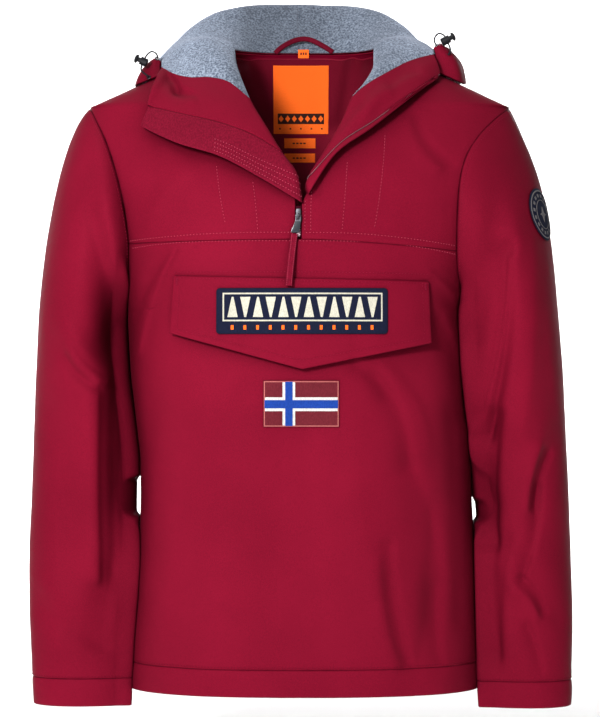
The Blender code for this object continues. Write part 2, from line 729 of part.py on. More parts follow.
def hood_section(row, sign, collar=None):
    """Section of the hood from the neck seam to the rim."""
    neck, rise, fold, bottom, rim = (
        np.array((HOOD_MIDDLE * (i > 0) + sign * d, y, z), float) * MM for i, (d, y, z) in enumerate(row)
    )
    centre = np.array((HOOD_MIDDLE, 20, 0)) * MM
    away = (bottom + fold) / 2 - centre
    away[2] = 0
    away /= max(np.linalg.norm(away), 1e-9)
    room = np.linalg.norm(bottom - fold)
    fall = (fold + bottom) / 2 + away * min(6 * MM, 0.06 * room)
    swell = (bottom + rim) / 2 + away * min(18 * MM, 0.28 * np.linalg.norm(bottom - rim))
    wide = away * min(9 * MM, 0.13 * room)
    lift = np.array((0, 0, 0.25 * np.linalg.norm(wide)))
    line = through([neck, rise, fold, fall, bottom - wide + lift, bottom + wide + lift, swell, rim], 400)
    at = int(np.argmin(np.linalg.norm(line - fold, axis=1)))
    front = through(line[: at + 1][::6] if at % 6 == 0 else np.vstack([line[:at:6], line[at]]), 0, ACROSS)
    rest = through(np.vstack([line[at::6], line[-1]]), POUCH + 1)
    return np.concatenate([front, rest[1:]])


def end_of(section):
    return np.concatenate([section, np.repeat(section[-1:], POUCH, axis=0)])


def hood_columns():
    """All sections, from the border of the left collar front round the back to that of the right one."""
    columns = [end_of(rolled(COLLAR["left"][1])), end_of(rolled(COLLAR["left"][0]))]
    columns += [hood_section(row, -1) for row in reversed(HOOD_ENDS["left"])]
    columns += [hood_section(row, -1) for row in reversed(HOOD_BACK)]
    columns += [hood_section(row, 1) for row in HOOD_BACK[1:]]
    columns += [hood_section(row, 1) for row in HOOD_ENDS["right"]]
    columns += [end_of(rolled(COLLAR["right"][0])), end_of(rolled(COLLAR["right"][1]))]
    return np.array(columns)


columns = hood_columns()
count, samples = columns.shape[:2]
hood = columns.transpose(1, 0, 2).reshape(-1, 3)
ends = 2  # collar columns at either side, which stop at the fold
fold_row = len(ACROSS) - 1


def in_hood(r, c):
    """The collar columns stop at the fold, and the channel pieces take over at the ends of the pouch wall."""
    if c in (ends, count - 2 - ends):
        return r < fold_row + POUCH_BOTTOM
    return r < fold_row or ends <= c < count - 1 - ends


def channel_panel(side):
    """The cord channel, from the last full section of the pouch wall on."""
    start = ends + 1 if side == "left" else count - 2 - ends
    wall = columns[start][fold_row + POUCH_BOTTOM :][::-1]
    grid = [wall] + [through([np.array(p, float) * MM for p in row], len(wall)) for row in CHANNEL[side]]
    grid = np.array(grid)
    if side == "left":
        grid = grid[::-1]
    grid = grid[:, ::-1].transpose(1, 0, 2)
    return dict(points=grid.reshape(-1, 3), cells=grid_cells(*grid.shape[:2]), group="hood")


def blend_rows(points, a, b, steps):
    """A smooth line through the same place of each row, sampled between rows a and b."""
    p = np.asarray(points, float)
    out = []
    for k in range(a, b):
        start, end = p[k], p[k + 1]
        ahead = (end - p[max(k - 1, 0)]) / 2
        behind = (p[min(k + 2, len(p) - 1)] - start) / 2
        for j in range(steps if k < b - 1 else steps + 1):
            t = j / steps
            t2, t3 = t * t, t * t * t
            near = (2 * t3 - 3 * t2 + 1) * start + (t3 - 2 * t2 + t) * ahead
            out.append(near + (3 * t2 - 2 * t3) * end + (t3 - t2) * behind)
    return out


def collar_panel(side, first, last, steps):
    """Sections of a collar front between two named rows, with steps rows from one to the next."""
    names = [row[0] for row in COLLAR[side]]
    sections = np.array([rolled(row) for row in COLLAR[side]])
    a, b = names.index(first), names.index(last)
    grid = np.array([blend_rows(sections[:, i], a, b, steps) for i in range(sections.shape[1])])
    if side == "left":
        grid = grid[:, ::-1]
    return dict(points=grid.reshape(-1, 3), cells=grid_cells(*grid.shape[:2]), group="hood")


collar = {
    "hood": dict(points=hood, cells=grid_cells(samples, count, keep=in_hood), group="hood"),
    "facing_left": collar_panel("left", "border", "seam", 2),
    "placket": collar_panel("left", "seam", "edge", 2),
    "facing_right": collar_panel("right", "border", "teeth", 2),
    "zip_tape": collar_panel("right", "teeth", "edge", 1),
    "channel_left": channel_panel("left"),
    "channel_right": channel_panel("right"),
}
shared_normals(collar)
normals = collar["hood"]["normals"]
middle_column = count // 2
fleece_out, fleece_in = hood + normals * (AIR + PLY), hood + normals * AIR
left_half = grid_cells(samples, count, keep=lambda r, c: in_hood(r, c) and c < middle_column)
right_half = grid_cells(samples, count, keep=lambda r, c: in_hood(r, c) and c >= middle_column)
sheet("hood_lining_left", fleece_out, fleece_in, left_half, FLEECE, 1.4 * SEAM)
sheet("hood_lining_right", fleece_out, fleece_in, right_half, FLEECE, 1.4 * SEAM)


def in_shell(r, c):
    """The shell stops short of the collar fronts, except over the ends of the pouch."""
    if c in (ends, count - 2 - ends):
        return fold_row - 2 <= r < fold_row + POUCH_BOTTOM
    return ends < c < count - 2 - ends


shell_cells = grid_cells(samples, count, keep=in_shell)
sheet("hood_shell", hood - normals * AIR, hood - normals * (AIR + PLY), shell_cells, RED)
for name, panel in collar.items():
    if name.startswith("channel"):
        out, under = (panel["points"] + panel["normals"] * k for k in (0.4 * MM, -AIR - PLY))
        sheet(name, out, under, panel["cells"], RED, 1.4 * SEAM)
    elif name != "hood":
        out = panel["points"] + panel["normals"] * (AIR + PLY)
        sheet(name, out, out - panel["normals"] * FACING, panel["cells"], RED, 1.8 * SEAM)


# ---------------------------------------------------------------- pieces that lie on others


def tree_of(*names):
    points, faces = [], []
    for name in names:
        mesh = bpy.data.objects[name].data
        start = len(points)
        points += [tuple(v.co) for v in mesh.vertices]
        faces += [tuple(start + i for i in face.vertices) for face in mesh.polygons]
    return BVHTree.FromPolygons(points, faces)


def land(tree, point, way):
    """The first point of a surface that a ray meets."""
    hit = tree.ray_cast(Vector(point), Vector(way))
    return np.array(hit[0]) if hit[0] is not None else None


def corner_grid(corners, across, down):
    """Even points of a quadrilateral in x, z, from its top left corner on, clockwise as seen from the front."""
    a, b, c, d = (np.array(p, float) * MM for p in corners)
    rows = []
    for v in np.linspace(0, 1, down + 1):
        left, right = a + (d - a) * v, b + (c - b) * v
        rows.append([left + (right - left) * u for u in np.linspace(0, 1, across + 1)])
    return np.array(rows[::-1])


def laid(name, flat, under, lift, thick, look, from_back=False):
    """A piece laid on others: each point of its flat x, z grid lands on them along Y and is moved out."""
    way = (0, 1, 0)
    start = -0.06 if from_back else -1.0
    tree = tree_of(*under)
    rows, columns = flat.shape[:2]
    points = []
    for x, z in flat.reshape(-1, 2):
        hit = land(tree, (x, start, z), way)
        points.append(hit)
    points = np.array(points)
    lift = np.broadcast_to(np.asarray(lift, float), (rows, columns)).reshape(-1)
    under_side = points - np.array((0, 1, 0)) * lift[:, None]
    quads = grid_cells(rows, columns)
    normal = own_normals(under_side, quads)
    return sheet(name, under_side + normal * thick, under_side, quads, look, pull=0)


flap_columns, flap_rows = 20, 5
u = np.linspace(0, 1, flap_columns + 1)
top_x = (FLAP_TOP[0][0] + (FLAP_TOP[1][0] - FLAP_TOP[0][0]) * u) * MM
top_z = (FLAP_TOP[0][1] + (FLAP_TOP[1][1] - FLAP_TOP[0][1]) * u) * MM
foot_x = (FLAP_FOOT[0][0] + (FLAP_FOOT[2][0] - FLAP_FOOT[0][0]) * u) * MM
foot_z = np.interp(foot_x / MM, [p[0] for p in FLAP_FOOT], [p[1] for p in FLAP_FOOT]) * MM
down = np.linspace(1, 0, flap_rows + 1)[:, None]
flap_flat = np.stack([top_x + (foot_x - top_x) * down, top_z + (foot_z - top_z) * down], axis=2)
stand = 0.6 * MM + 0.7 * MM * (np.abs(2 * u - 1) ** 3)[None, :] + 8 * MM * down**1.5
stand = stand + 4 * MM * down * np.clip((u - 0.7) / 0.3, 0, 1)[None, :]
laid("pocket_flap", flap_flat, ["front_lower"], stand, 2.4 * MM, RED)
name_corners = ((-93.6, -278.3), (93.6, -278.3), (93.6, -328.3), (-93.6, -328.3))
laid("name_patch", corner_grid(name_corners, 14, 3), ["pocket_flap"], 0.5 * MM, 1.2 * MM, NAVY)
flag_corners = ((-42.1, -379.1), (40.2, -379.1), (40.2, -429.5), (-42.1, -429.5))
laid("flag_patch", corner_grid(flag_corners, 6, 3), ["front_lower"], 0.45 * MM, 1.2 * MM, FLAG_RED)


def round_patch(name, under, centre, way, across, lift, thick, look, steps=8):
    """A round patch that follows a curved piece: a square grid drawn into a disc and cast onto the piece."""
    tree = tree_of(under)
    way = np.array(way, float)
    way /= np.linalg.norm(way)
    middle = land(tree, np.array(centre) * MM - way * 0.05, way)
    side = np.cross(way, (0, 0, 1))
    side /= np.linalg.norm(side)
    up = np.cross(side, way)
    points = []
    for b in np.linspace(-1, 1, steps + 1):
        for a in np.linspace(-1, 1, steps + 1):
            disc_a, disc_b = a * math.sqrt(1 - b * b / 2), b * math.sqrt(1 - a * a / 2)
            start = middle + (side * disc_a + up * disc_b) * across / 2 - way * 0.04
            points.append(land(tree, start, way) - way * lift)
    points = np.array(points)
    quads = grid_cells(steps + 1, steps + 1)
    normal = own_normals(points, quads)
    if np.dot(normal.mean(axis=0), way) > 0:
        quads = [quad[::-1] for quad in quads]
        normal = own_normals(points, quads)
    sheet(name, points + normal * thick, points, quads, look, pull=0)


badge_centre, badge_way = (272.5, -42, -193), (-0.91, 0.41, 0.06)
round_patch("sleeve_patch", "sleeve_right", badge_centre, badge_way, 58 * MM, 0.9 * MM, 1.2 * MM, NAVY)

# inner back piece behind the open neck, with its labels
lining_rows = (-205, -180, -157, -134, -111, -89, -70, -53, -36, -18, -7)
lining_half = (62, 74, 84, 90, 93, 94, 94, 93, 90, 84, 78)
lining = []
for row, reach in zip(lining_rows, lining_half):
    line = body_row(row, -reach * MM, reach * MM, 12, True)
    lining.append([p - body_normal(p[0], p[2], True) * (CLOTH + 1.2 * MM) for p in line])
lining = np.array(lining)
flat = lining.reshape(-1, 3)
quads = grid_cells(*lining.shape[:2])
normal = own_normals(flat, quads)
sheet("back_lining", flat + normal * 1.4 * MM, flat, quads, DARK_RED, pull=0)
LABELS = (
    # name, left, right, top, bottom
    ("neck_label", -33.5, 31, -13, -90),
    ("info_label_upper", -21, 16, -95, -106.5),
    ("info_label_lower", -21, 15.5, -112.5, -123),
)
for name, x0, x1, z0, z1 in LABELS:
    corners = ((x0, z0), (x1, z0), (x1, z1), (x0, z1))
    steps = 5 if name == "neck_label" else 1
    laid(name, corner_grid(corners, 4, steps), ["back_lining"], 0.45 * MM, 1.0 * MM, ORANGE, from_back=True)


# ---------------------------------------------------------------- loop, zip, pull and cord locks


def with_origin(made, place):
    """Puts the origin of an object at a place in mm without moving the object."""
    at = Vector([c * MM for c in place])
    for vertex in made.data.vertices:
        vertex.co -= at
    made.location = at
    return made


def ribbon(name, path, width, thick, look, samples_along=12, flat_way=(0, -1, 0)):
    """A flat band along a smooth path; its face looks along flat_way."""
    line = through([np.array(p, float) * MM for p in path], samples_along)
    along = np.gradient(line, axis=0)
    along /= np.linalg.norm(along, axis=1, keepdims=True)
    out = np.array(flat_way, float)
    across = np.cross(out, along)
    across /= np.linalg.norm(across, axis=1, keepdims=True)
    face = np.cross(along, across)
    rows = np.array([line + across * (width / 2 * k) for k in (-1, 0, 1)])
    flat = rows.reshape(-1, 3)
    quads = grid_cells(*rows.shape[:2])
    lift = np.concatenate([face] * 3) * thick
    normal = own_normals(flat, quads)
    if (normal * lift).sum() < 0:
        quads = [quad[::-1] for quad in quads]
    return sheet(name, flat + lift, flat, quads, look, pull=0)


def box_points(low, high):
    return [(x, y, z) for x in (low[0], high[0]) for y in (low[1], high[1]) for z in (low[2], high[2])]


BOX_FACES = ((0, 1, 3, 2), (4, 6, 7, 5), (0, 4, 5, 1), (2, 3, 7, 6), (0, 2, 6, 4), (1, 5, 7, 3))


def block(name, low, high, look):
    points = [tuple(c * MM for c in p) for p in box_points(low, high)]
    return new_object(name, points, BOX_FACES, look)


def plate(name, outline, y_front, y_back, look):
    """A flat plate in the x, z plane from an anticlockwise outline seen from the front."""
    size = len(outline)
    points = [(x * MM, y_front * MM, z * MM) for x, z in outline]
    points += [(x * MM, y_back * MM, z * MM) for x, z in outline]
    faces = [tuple(range(size)), tuple(range(2 * size - 1, size - 1, -1))]
    for i in range(size):
        j = (i + 1) % size
        faces.append((j, i, i + size, j + size))
    return new_object(name, points, faces, look)


def combine(target, others, operation):
    """Joins or cuts with boolean modifiers, then keeps the result as a plain mesh."""
    for other in others:
        modifier = target.modifiers.new(other.name, "BOOLEAN")
        modifier.operation = operation
        modifier.solver = "EXACT"
        modifier.object = other
    bpy.context.view_layer.update()
    graph = bpy.context.evaluated_depsgraph_get()
    made = bpy.data.meshes.new_from_object(target.evaluated_get(graph))
    target.modifiers.clear()
    target.data = made
    for other in others:
        bpy.data.objects.remove(other)
    return target


def turned(name, profile, start, axis, look, sides=16):
    """A solid of revolution; profile rows are distance along the axis and radius, both in mm."""
    start, axis = np.array(start, float) * MM, np.array(axis, float)
    axis /= np.linalg.norm(axis)
    first = np.cross(axis, (0, 1, 0))
    first /= np.linalg.norm(first)
    second = np.cross(axis, first)
    points, faces = [], []
    for along, radius in profile:
        for k in range(sides):
            turn = 2 * math.pi * k / sides
            way = first * math.cos(turn) + second * math.sin(turn)
            points.append(start + axis * along * MM + way * radius * MM)
    rings = len(profile)
    for r in range(rings - 1):
        for k in range(sides):
            j = (k + 1) % sides
            faces.append((r * sides + k, r * sides + j, (r + 1) * sides + j, (r + 1) * sides + k))
    faces.append(tuple(range(sides - 1, -1, -1)))
    faces.append(tuple((rings - 1) * sides + k for k in range(sides)))
    made = new_object(name, points, faces, look)
    centre = sum(points) / len(points)
    polygon = made.data.polygons[0]
    if (np.array(polygon.normal) * (np.array(polygon.center) - centre)).sum() < 0:
        made.data.flip_normals()
    return made


def slab(centre, axis, across, along_axis, width, length):
    """A box cutter with its sides along axis, across and their cross product, all in mm."""
    axis = np.array(axis, float) / np.linalg.norm(axis)
    across = np.array(across, float) / np.linalg.norm(across)
    third = np.cross(axis, across)
    points = []
    for a in (-along_axis / 2, along_axis / 2):
        for w in (-width / 2, width / 2):
            for d in (-length / 2, length / 2):
                points.append((np.array(centre, float) + axis * a + third * w + across * d) * MM)
    made = new_object("cutter", points, BOX_FACES, BLACK)
    middle = sum(points) / 8
    polygon = made.data.polygons[0]
    if (np.array(polygon.normal) * (np.array(polygon.center) - middle)).sum() < 0:
        made.data.flip_normals()
    made.hide_render = True
    made.display_type = "WIRE"
    return made


loop_path = ((-31, 70, 1), (-23, 70.3, 8.5), (-6, 72.5, 17), (8, 72.5, 17.5), (24, 70, 10), (36, 68.8, 2))
ribbon("hanger_loop", loop_path, 6 * MM, 1.2 * MM, DARK_RED, 14)
block("size_label", (-4.5, 70.9, -4.5), (8, 71.9, 5.5), ORANGE)

zip_x = (ZIP_EDGE["left"] + ZIP_EDGE["right"]) / 2
zip_rows = []
for z in np.linspace(-222.0, -188.5, 5):
    zip_rows.append([(x * MM, float(body_y(x * MM, z * MM)) + 2.4 * MM, z * MM) for x in (-7.0, zip_x, -1.0)])
zip_rows = np.array(zip_rows)
flat = zip_rows.reshape(-1, 3)
quads = grid_cells(*zip_rows.shape[:2])
sheet("zip_closed", flat - np.array((0, 1.5, 0)) * MM, flat, quads, BLACK, pull=0)

SLIDER_TOP, SLIDER_FOOT = -191.5, -203.5
face = float(body_y(zip_x * MM, -197 * MM)) / MM
HINGE = (zip_x, face - 3.4 - 1.3, -199.4)
slider = block("slider", (zip_x - 3, face - 3.4, SLIDER_FOOT), (zip_x + 3, face - 0.5, SLIDER_TOP), METAL)
hx, hy, hz = HINGE
legs = [
    block("leg_up", (hx - 0.7, hy - 2.4, hz + 1.2), (hx + 0.7, hy + 1.8, hz + 2.4), METAL),
    block("leg_down", (hx - 0.7, hy - 2.4, hz - 3.0), (hx + 0.7, hy + 1.8, hz - 1.8), METAL),
    block("wire", (hx - 0.7, hy - 2.4, hz - 2.6), (hx + 0.7, hy - 1.2, hz + 2.0), METAL),
]
for leg in legs:
    leg.hide_render = True
    leg.display_type = "WIRE"
combine(slider, legs, "UNION")

tab_outline = (
    (hx - 3.0, hz + 0.6), (hx - 3.4, hz - 5.5), (-12.4, -217.7),
    (-3.5, -217.7), (hx + 2.9, hz - 5.5), (hx + 3.0, hz + 0.6),
)
tab = plate("pull_tab", tab_outline, hy - 0.6, hy + 0.6, METAL)
window = block("window", (hx - 1.6, hy - 2, hz - 4.4), (hx + 1.6, hy + 2, hz - 0.6), METAL)
window.hide_render = True
window.display_type = "WIRE"
with_origin(combine(tab, [window], "DIFFERENCE"), HINGE)
strap_path = (
    (-8.3, hy - 0.2, -218.9), (-10.6, hy - 3.8, -238), (-13.2, -146.2, -262), (-14.4, -147.6, -276.2),
)
with_origin(ribbon("pull_strap", strap_path, 7.6 * MM, 1.0 * MM, RED, 8), HINGE)

CORD = 1.0  # cord radius
LOCKS = {
    # middle of the push button's head and end of the barrel
    "left": ((-187.4, -19.5, -15.3), (-175.2, -19.5, -20.6)),
    "right": ((172.4, 3, 12.4), (159.3, 3, 5.4)),
}
TRAVEL = 2.2
lock_hole = {}
for side, (head, end) in LOCKS.items():
    head, end = np.array(head, float), np.array(end, float)
    axis = (end - head) / np.linalg.norm(end - head)
    across = np.cross(axis, (0, 1, 0))
    if across[2] < 0:
        across = -across
    length = np.linalg.norm(end - head)
    shape = ((4.6, 4.2), (5.2, 4.7), (length - 0.9, 4.7), (length, 3.9))
    barrel = turned("lock_barrel_" + side, shape, head, axis, BLACK)
    bore = turned("bore", ((3.6, 3.1), (length - 1.4, 3.1)), head, axis, BLACK)
    bore.hide_render = True
    bore.display_type = "WIRE"
    hole = head + axis * 8.6
    slot = slab(hole, axis, across, 3.2, 2.8, 14)
    combine(barrel, [bore, slot], "DIFFERENCE")
    knob = ((-2.2, 2.6), (-1.4, 4.4), (0.2, 5.3), (1.2, 5.0), (1.9, 2.8), (length - 1.4 - TRAVEL - 0.5, 2.8))
    plunger = turned("lock_plunger_" + side, knob, head, axis, BLACK)
    gap = slab(hole - axis * (TRAVEL + 0.6) / 2, axis, across, 3.0 + TRAVEL, 2.8, 14)
    with_origin(combine(plunger, [gap], "DIFFERENCE"), head)
    lock_hole[side] = (hole, across, axis)


def cord(name, path, look=BLACK):
    line = through(path, 48)
    curve = bpy.data.curves.new(name, "CURVE")
    curve.dimensions = "3D"
    curve.bevel_depth = CORD * MM
    curve.bevel_resolution = 2
    curve.use_fill_caps = True
    spline = curve.splines.new("POLY")
    spline.points.add(len(line) - 1)
    for point, place in zip(spline.points, line):
        point.co = (*place, 1)
    made = bpy.data.objects.new(name, curve)
    bpy.context.scene.collection.objects.link(made)
    curve.materials.append(material(name, *look))
    return made


def rooted(name, place):
    """Where a cord comes out of a surface near a place in mm: from just off the surface straight out."""
    at, way = tree_of(name).find_nearest(Vector([c * MM for c in place]))[:2]
    return [np.array(at) / MM + np.array(way) * k for k in (0.35, 1.8, 3.3)]


def cord_path(side, start, before, after, end):
    """From one root through the cord lock to the other root."""
    hole, across, _ = lock_hole[side]
    inside = [hole + across * k for k in (6.5, 2, -2, -6.5)]
    first, last = rooted("channel_" + side, start), rooted("channel_" + side, end)
    return [np.array(p, float) * MM for p in (*first, *before, *inside, *after, *last[::-1])]


left_before, left_after = ((-166, -14.5, -8.5), (-171, -18.5, -7.3)), ((-181.8, -21, -29),)
right_before, right_after = ((150.8, -1.5, 7.5), (152.6, 1, 13), (156.7, 3, 16)), ((169.2, 0.5, -2.5),)
cord("cord_left", cord_path("left", (-164.5, -6, -13), left_before, left_after, (-173.5, -22, -37)))
cord("cord_right", cord_path("right", (153, -3, 2), right_before, right_after, (166, -9, -10)))
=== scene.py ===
"""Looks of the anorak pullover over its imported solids.

Every cloth piece is a thin shell on the form of its solid: the same tables and formulas, sampled finely, with
creases, seam grooves and stitching on top. Tables hold millimetres; the script works in metres. The front
faces -Y, +Z is up, and "left" is -X, the viewer's left.
"""

import math

import bpy
import numpy as np
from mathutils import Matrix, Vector, noise
from mathutils.bvhtree import BVHTree


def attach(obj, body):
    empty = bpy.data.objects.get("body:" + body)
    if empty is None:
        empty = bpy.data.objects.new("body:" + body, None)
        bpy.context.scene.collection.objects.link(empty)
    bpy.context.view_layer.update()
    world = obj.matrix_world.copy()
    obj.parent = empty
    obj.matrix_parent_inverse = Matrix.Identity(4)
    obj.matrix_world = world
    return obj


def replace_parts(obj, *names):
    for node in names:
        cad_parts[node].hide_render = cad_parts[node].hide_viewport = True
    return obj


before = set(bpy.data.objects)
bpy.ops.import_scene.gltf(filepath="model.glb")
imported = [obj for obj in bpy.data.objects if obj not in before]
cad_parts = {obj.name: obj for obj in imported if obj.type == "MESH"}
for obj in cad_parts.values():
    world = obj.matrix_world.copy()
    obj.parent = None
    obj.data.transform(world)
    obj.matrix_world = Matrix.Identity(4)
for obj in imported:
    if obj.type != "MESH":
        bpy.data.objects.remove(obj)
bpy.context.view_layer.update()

MM = 0.001
COARSER = 1.0  # wider grids while the script is being written
BODY = "garment"
SQUARENESS = 2.5  # exponent of the body sections

# ---------------------------------------------------------------- tables of the form, as in the solids

SHOULDER_TIP = {"z": -70, "left": 241, "right": 236}
NECK_HALF_WIDTH = 88

# half widths of the body below the shoulder tips; between tip and armpit they run under the sleeve head
BODY_WIDTH = (
    # z, left, right
    (-70, 241, 236),
    (-105, 246, 240),
    (-132, 245, 237),
    (-163, 240, 229),
    (-193, 231, 217),
    (-225, 220, 205),
    (-260, 207.5, 193),
    (-285, 201.5, 186.8),
    (-300, 199, 184),
    (-322, 197.5, 184),
    (-351, 196, 185),
    (-378, 194, 187),
    (-407, 190.5, 189),
    (-440, 186.5, 191),
    (-472, 183.5, 192),
    (-514, 183.3, 193),
    (-545, 184.6, 195),
    (-576, 186, 198),
    (-618, 189.5, 200),
    (-646, 192.8, 201),
    (-671, 195, 201.6),
    (-695, 196.2, 202.4),
    (-725, 198, 204),
)

BODY_DEPTH = (
    # z, front, back
    (0, 20, 75),
    (-18, 38, 85),
    (-35, 54, 93),
    (-52, 67, 100),
    (-70, 79, 107),
    (-95, 94, 115),
    (-120, 108, 121.5),
    (-160, 124, 128),
    (-190, 131, 131),
    (-225, 135, 132),
    (-300, 139, 131),
    (-400, 139, 124),
    (-500, 137, 118),
    (-600, 135.5, 120),
    (-695, 134.5, 124),
    (-725, 134.5, 125),
)

# distance of the armhole seam from the middle, on the front and on the back
ARMHOLE = (
    # z, front left, front right, back left, back right
    (-70, 241, 236, 241, 236),
    (-89, 231, 214, 235, 228),
    (-111, 220, 194, 226, 217),
    (-134, 211.5, 181, 219, 208),
    (-157, 204.5, 175, 213, 201.5),
    (-180, 199, 172.5, 208, 196),
    (-202, 195, 171.5, 203.5, 191.5),
    (-225, 192.5, 171.5, 200.5, 188),
    (-247, 193, 172.8, 199, 185.5),
    (-268, 195, 175.5, 198, 183.8),
    (-287, 197.3, 180.5, 198.1, 183.2),
    (-295, 198.4, 182.8, 198.5, 183.4),
    (-300, 199, 184, 199, 184),
)

HEM_FOOT = -725
HEM_SEAM = -695
ARMPIT = -300
YOKE_ROW = -225
# the yoke seam falls away from the middle towards each armhole, and the rows near it follow it
YOKE_DROP = {"left": -3, "right": -13, "width": 190, "power": 1.4, "reach": 50}

ZIP_EDGE = {"left": -7.6, "right": -0.4}
V_FOOT = -202  # where the open front closes

# the edge of each front yoke along the open neck
V_EDGE = (
    # z, left, right
    (0, -80.5, 84),
    (-18, -82, 88.5),
    (-36, -76.5, 81.5),
    (-53, -70, 71.5),
    (-70, -63, 61.5),
    (-89, -52, 49.5),
    (-111, -38, 39),
    (-134, -25, 29),
    (-157, -13.5, 14.5),
    (-180, -7.8, 2.6),
    (-187, -7.6, -0.2),
    (-202, -7.6, -0.4),
)

# rings of sleeve and cuff: the outermost and innermost point, the middle in depth and half the depth
SLEEVE = {
    "left": (
        # outer x, outer z, inner x, inner z, middle y, half depth, how far the inner side leans out
        (258, -92, 202.5, -306, 4, 104, 0),
        (275, -141, 203.5, -315, 4, 99, 8),
        (291.5, -227, 204, -330, 4, 93, 20),
        (299, -296, 202.5, -354, 4, 87, 26),
        (303, -366, 198.5, -394, 5, 80, 26),
        (306, -436, 191.5, -450, 5, 72, 24),
        (308, -506, 187.8, -511, 1, 64, 0),
        (309.5, -576, 190.2, -578, -8, 56, -20),
        (308.5, -640, 196, -641, -19, 47, -20),
        (306, -681, 199, -681, -27, 40, -16),
        (304, -712.5, 200.2, -712.5, -30, 36, -14),
        # cuff
        (303, -728, 200.3, -728, -31, 35, -12),
        (302.5, -743.5, 200.5, -743.5, -31, 35, -12),
    ),
    "right": (
        # outer x, outer z, inner x, inner z, middle y, half depth, how far the inner side leans out
        (251, -98, 187.5, -305, 4, 102, 0),
        (271, -152, 188, -314, 4, 98, -8),
        (284.5, -225, 188, -329, 4, 92, -20),
        (291.5, -295, 188.2, -353, 4, 86, -26),
        (297, -366, 191, -394, 5, 80, -26),
        (300.8, -436, 194.5, -450, 5, 72, -24),
        (303.5, -506, 196.2, -511, 1, 64, -4),
        (305.5, -576, 201.5, -578, -8, 56, -20),
        (306, -640, 204.5, -641, -19, 47, -20),
        (305, -684, 206, -684, -27, 40, -16),
        (304, -716, 206.5, -716, -30, 36, -14),
        # cuff
        (304, -731, 208, -731, -31, 35, -12),
        (303.5, -745.5, 209, -745.5, -31, 35, -12),
    ),
}

# The hood lies open on the back. One row is a section from the neck seam over the fold into the pouch and up
# to the rim: distance from the middle, y and z of the neck seam, of a point on the rise, of the fold, of the
# bottom of the pouch and of the rim. The neck seam is measured from the middle of the body, the others from
# that of the hood.
HOOD_MIDDLE = -4.5
HOOD_BACK = (
    # neck, rise, fold, bottom, rim
    ((0, 74.4, 1.1), (0, 101, 37), (0, 127, 63), (0, 176, -140), (0, 205, 38)),
    ((32.5, 71.9, 1.1), (31, 99, 37), (36, 125, 62.5), (34, 174, -136), (36, 203, 36)),
    ((56.5, 63.3, 1.1), (58, 91, 35), (70, 118, 59.5), (66, 170, -120), (74, 193, 31)),
    ((73.5, 49.4, 1.2), (80, 78, 30), (98, 106, 51), (100, 158, -92), (108, 176, 22)),
    ((83.5, 31.8, 1.4), (99, 57, 22), (122, 86, 34), (134, 136, -64), (138, 150, 8)),
    ((87, 18, 1.8), (110, 36, 13), (139, 61, 14), (158, 98, -50), (162, 116, -5)),
)
HOOD_ENDS = {
    "left": (
        ((86.5, 7, 3), (112, 16, 12), (150, 36, -1), (170, 60, -42), (166, 72, -6)),
        ((82.5, -3, 3), (112, 2, 9), (154, 17, -9), (175, 30, -41), (168, 38, -13)),
        ((78.5, -11, 0), (112, -8, 6), (154.5, 6, -15), (167, 9, -35), (177, 8, -20)),
    ),
    "right": (
        ((86, 7, 3), (114, 16, 13), (151, 40, 4), (174, 60, -38), (163, 74, 11)),
        ((85.5, -3, 2.5), (116, 2, 10), (153, 20, -2), (182, 30, -36), (168, 38, 3)),
        ((82.8, -13, -1), (114, -9, 6), (153.5, 2, -6), (167, 8, -29), (176, 6, -9)),
    ),
}

# The cord channel goes on from the pouch wall round its end to the collar front. One row is a section: rim,
# middle and bottom.
CHANNEL = {
    "left": (
        ((-171, 20, -14.5), (-184, 12, -30), (-188.5, -4, -44.8)),
        ((-168, 5, -14), (-180, -5, -27), (-183.5, -18, -43.4)),
        ((-165, -4, -14.5), (-171, -12, -25), (-174, -21, -40)),
        ((-162, -4, -17), (-161.5, -13, -27), (-162, -24, -36)),
    ),
    "right": (
        ((165, 22, 1.5), (178, 14, -17), (184, -5, -43)),
        ((160, 7, 1), (172, -5, -14), (177, -18, -41.4)),
        ((155, -2, 1), (161, -11, -13), (167, -21, -37.2)),
        ((150.5, -2, -2), (150.8, -10, -16), (153.5, -21, -31.4)),
    ),
}

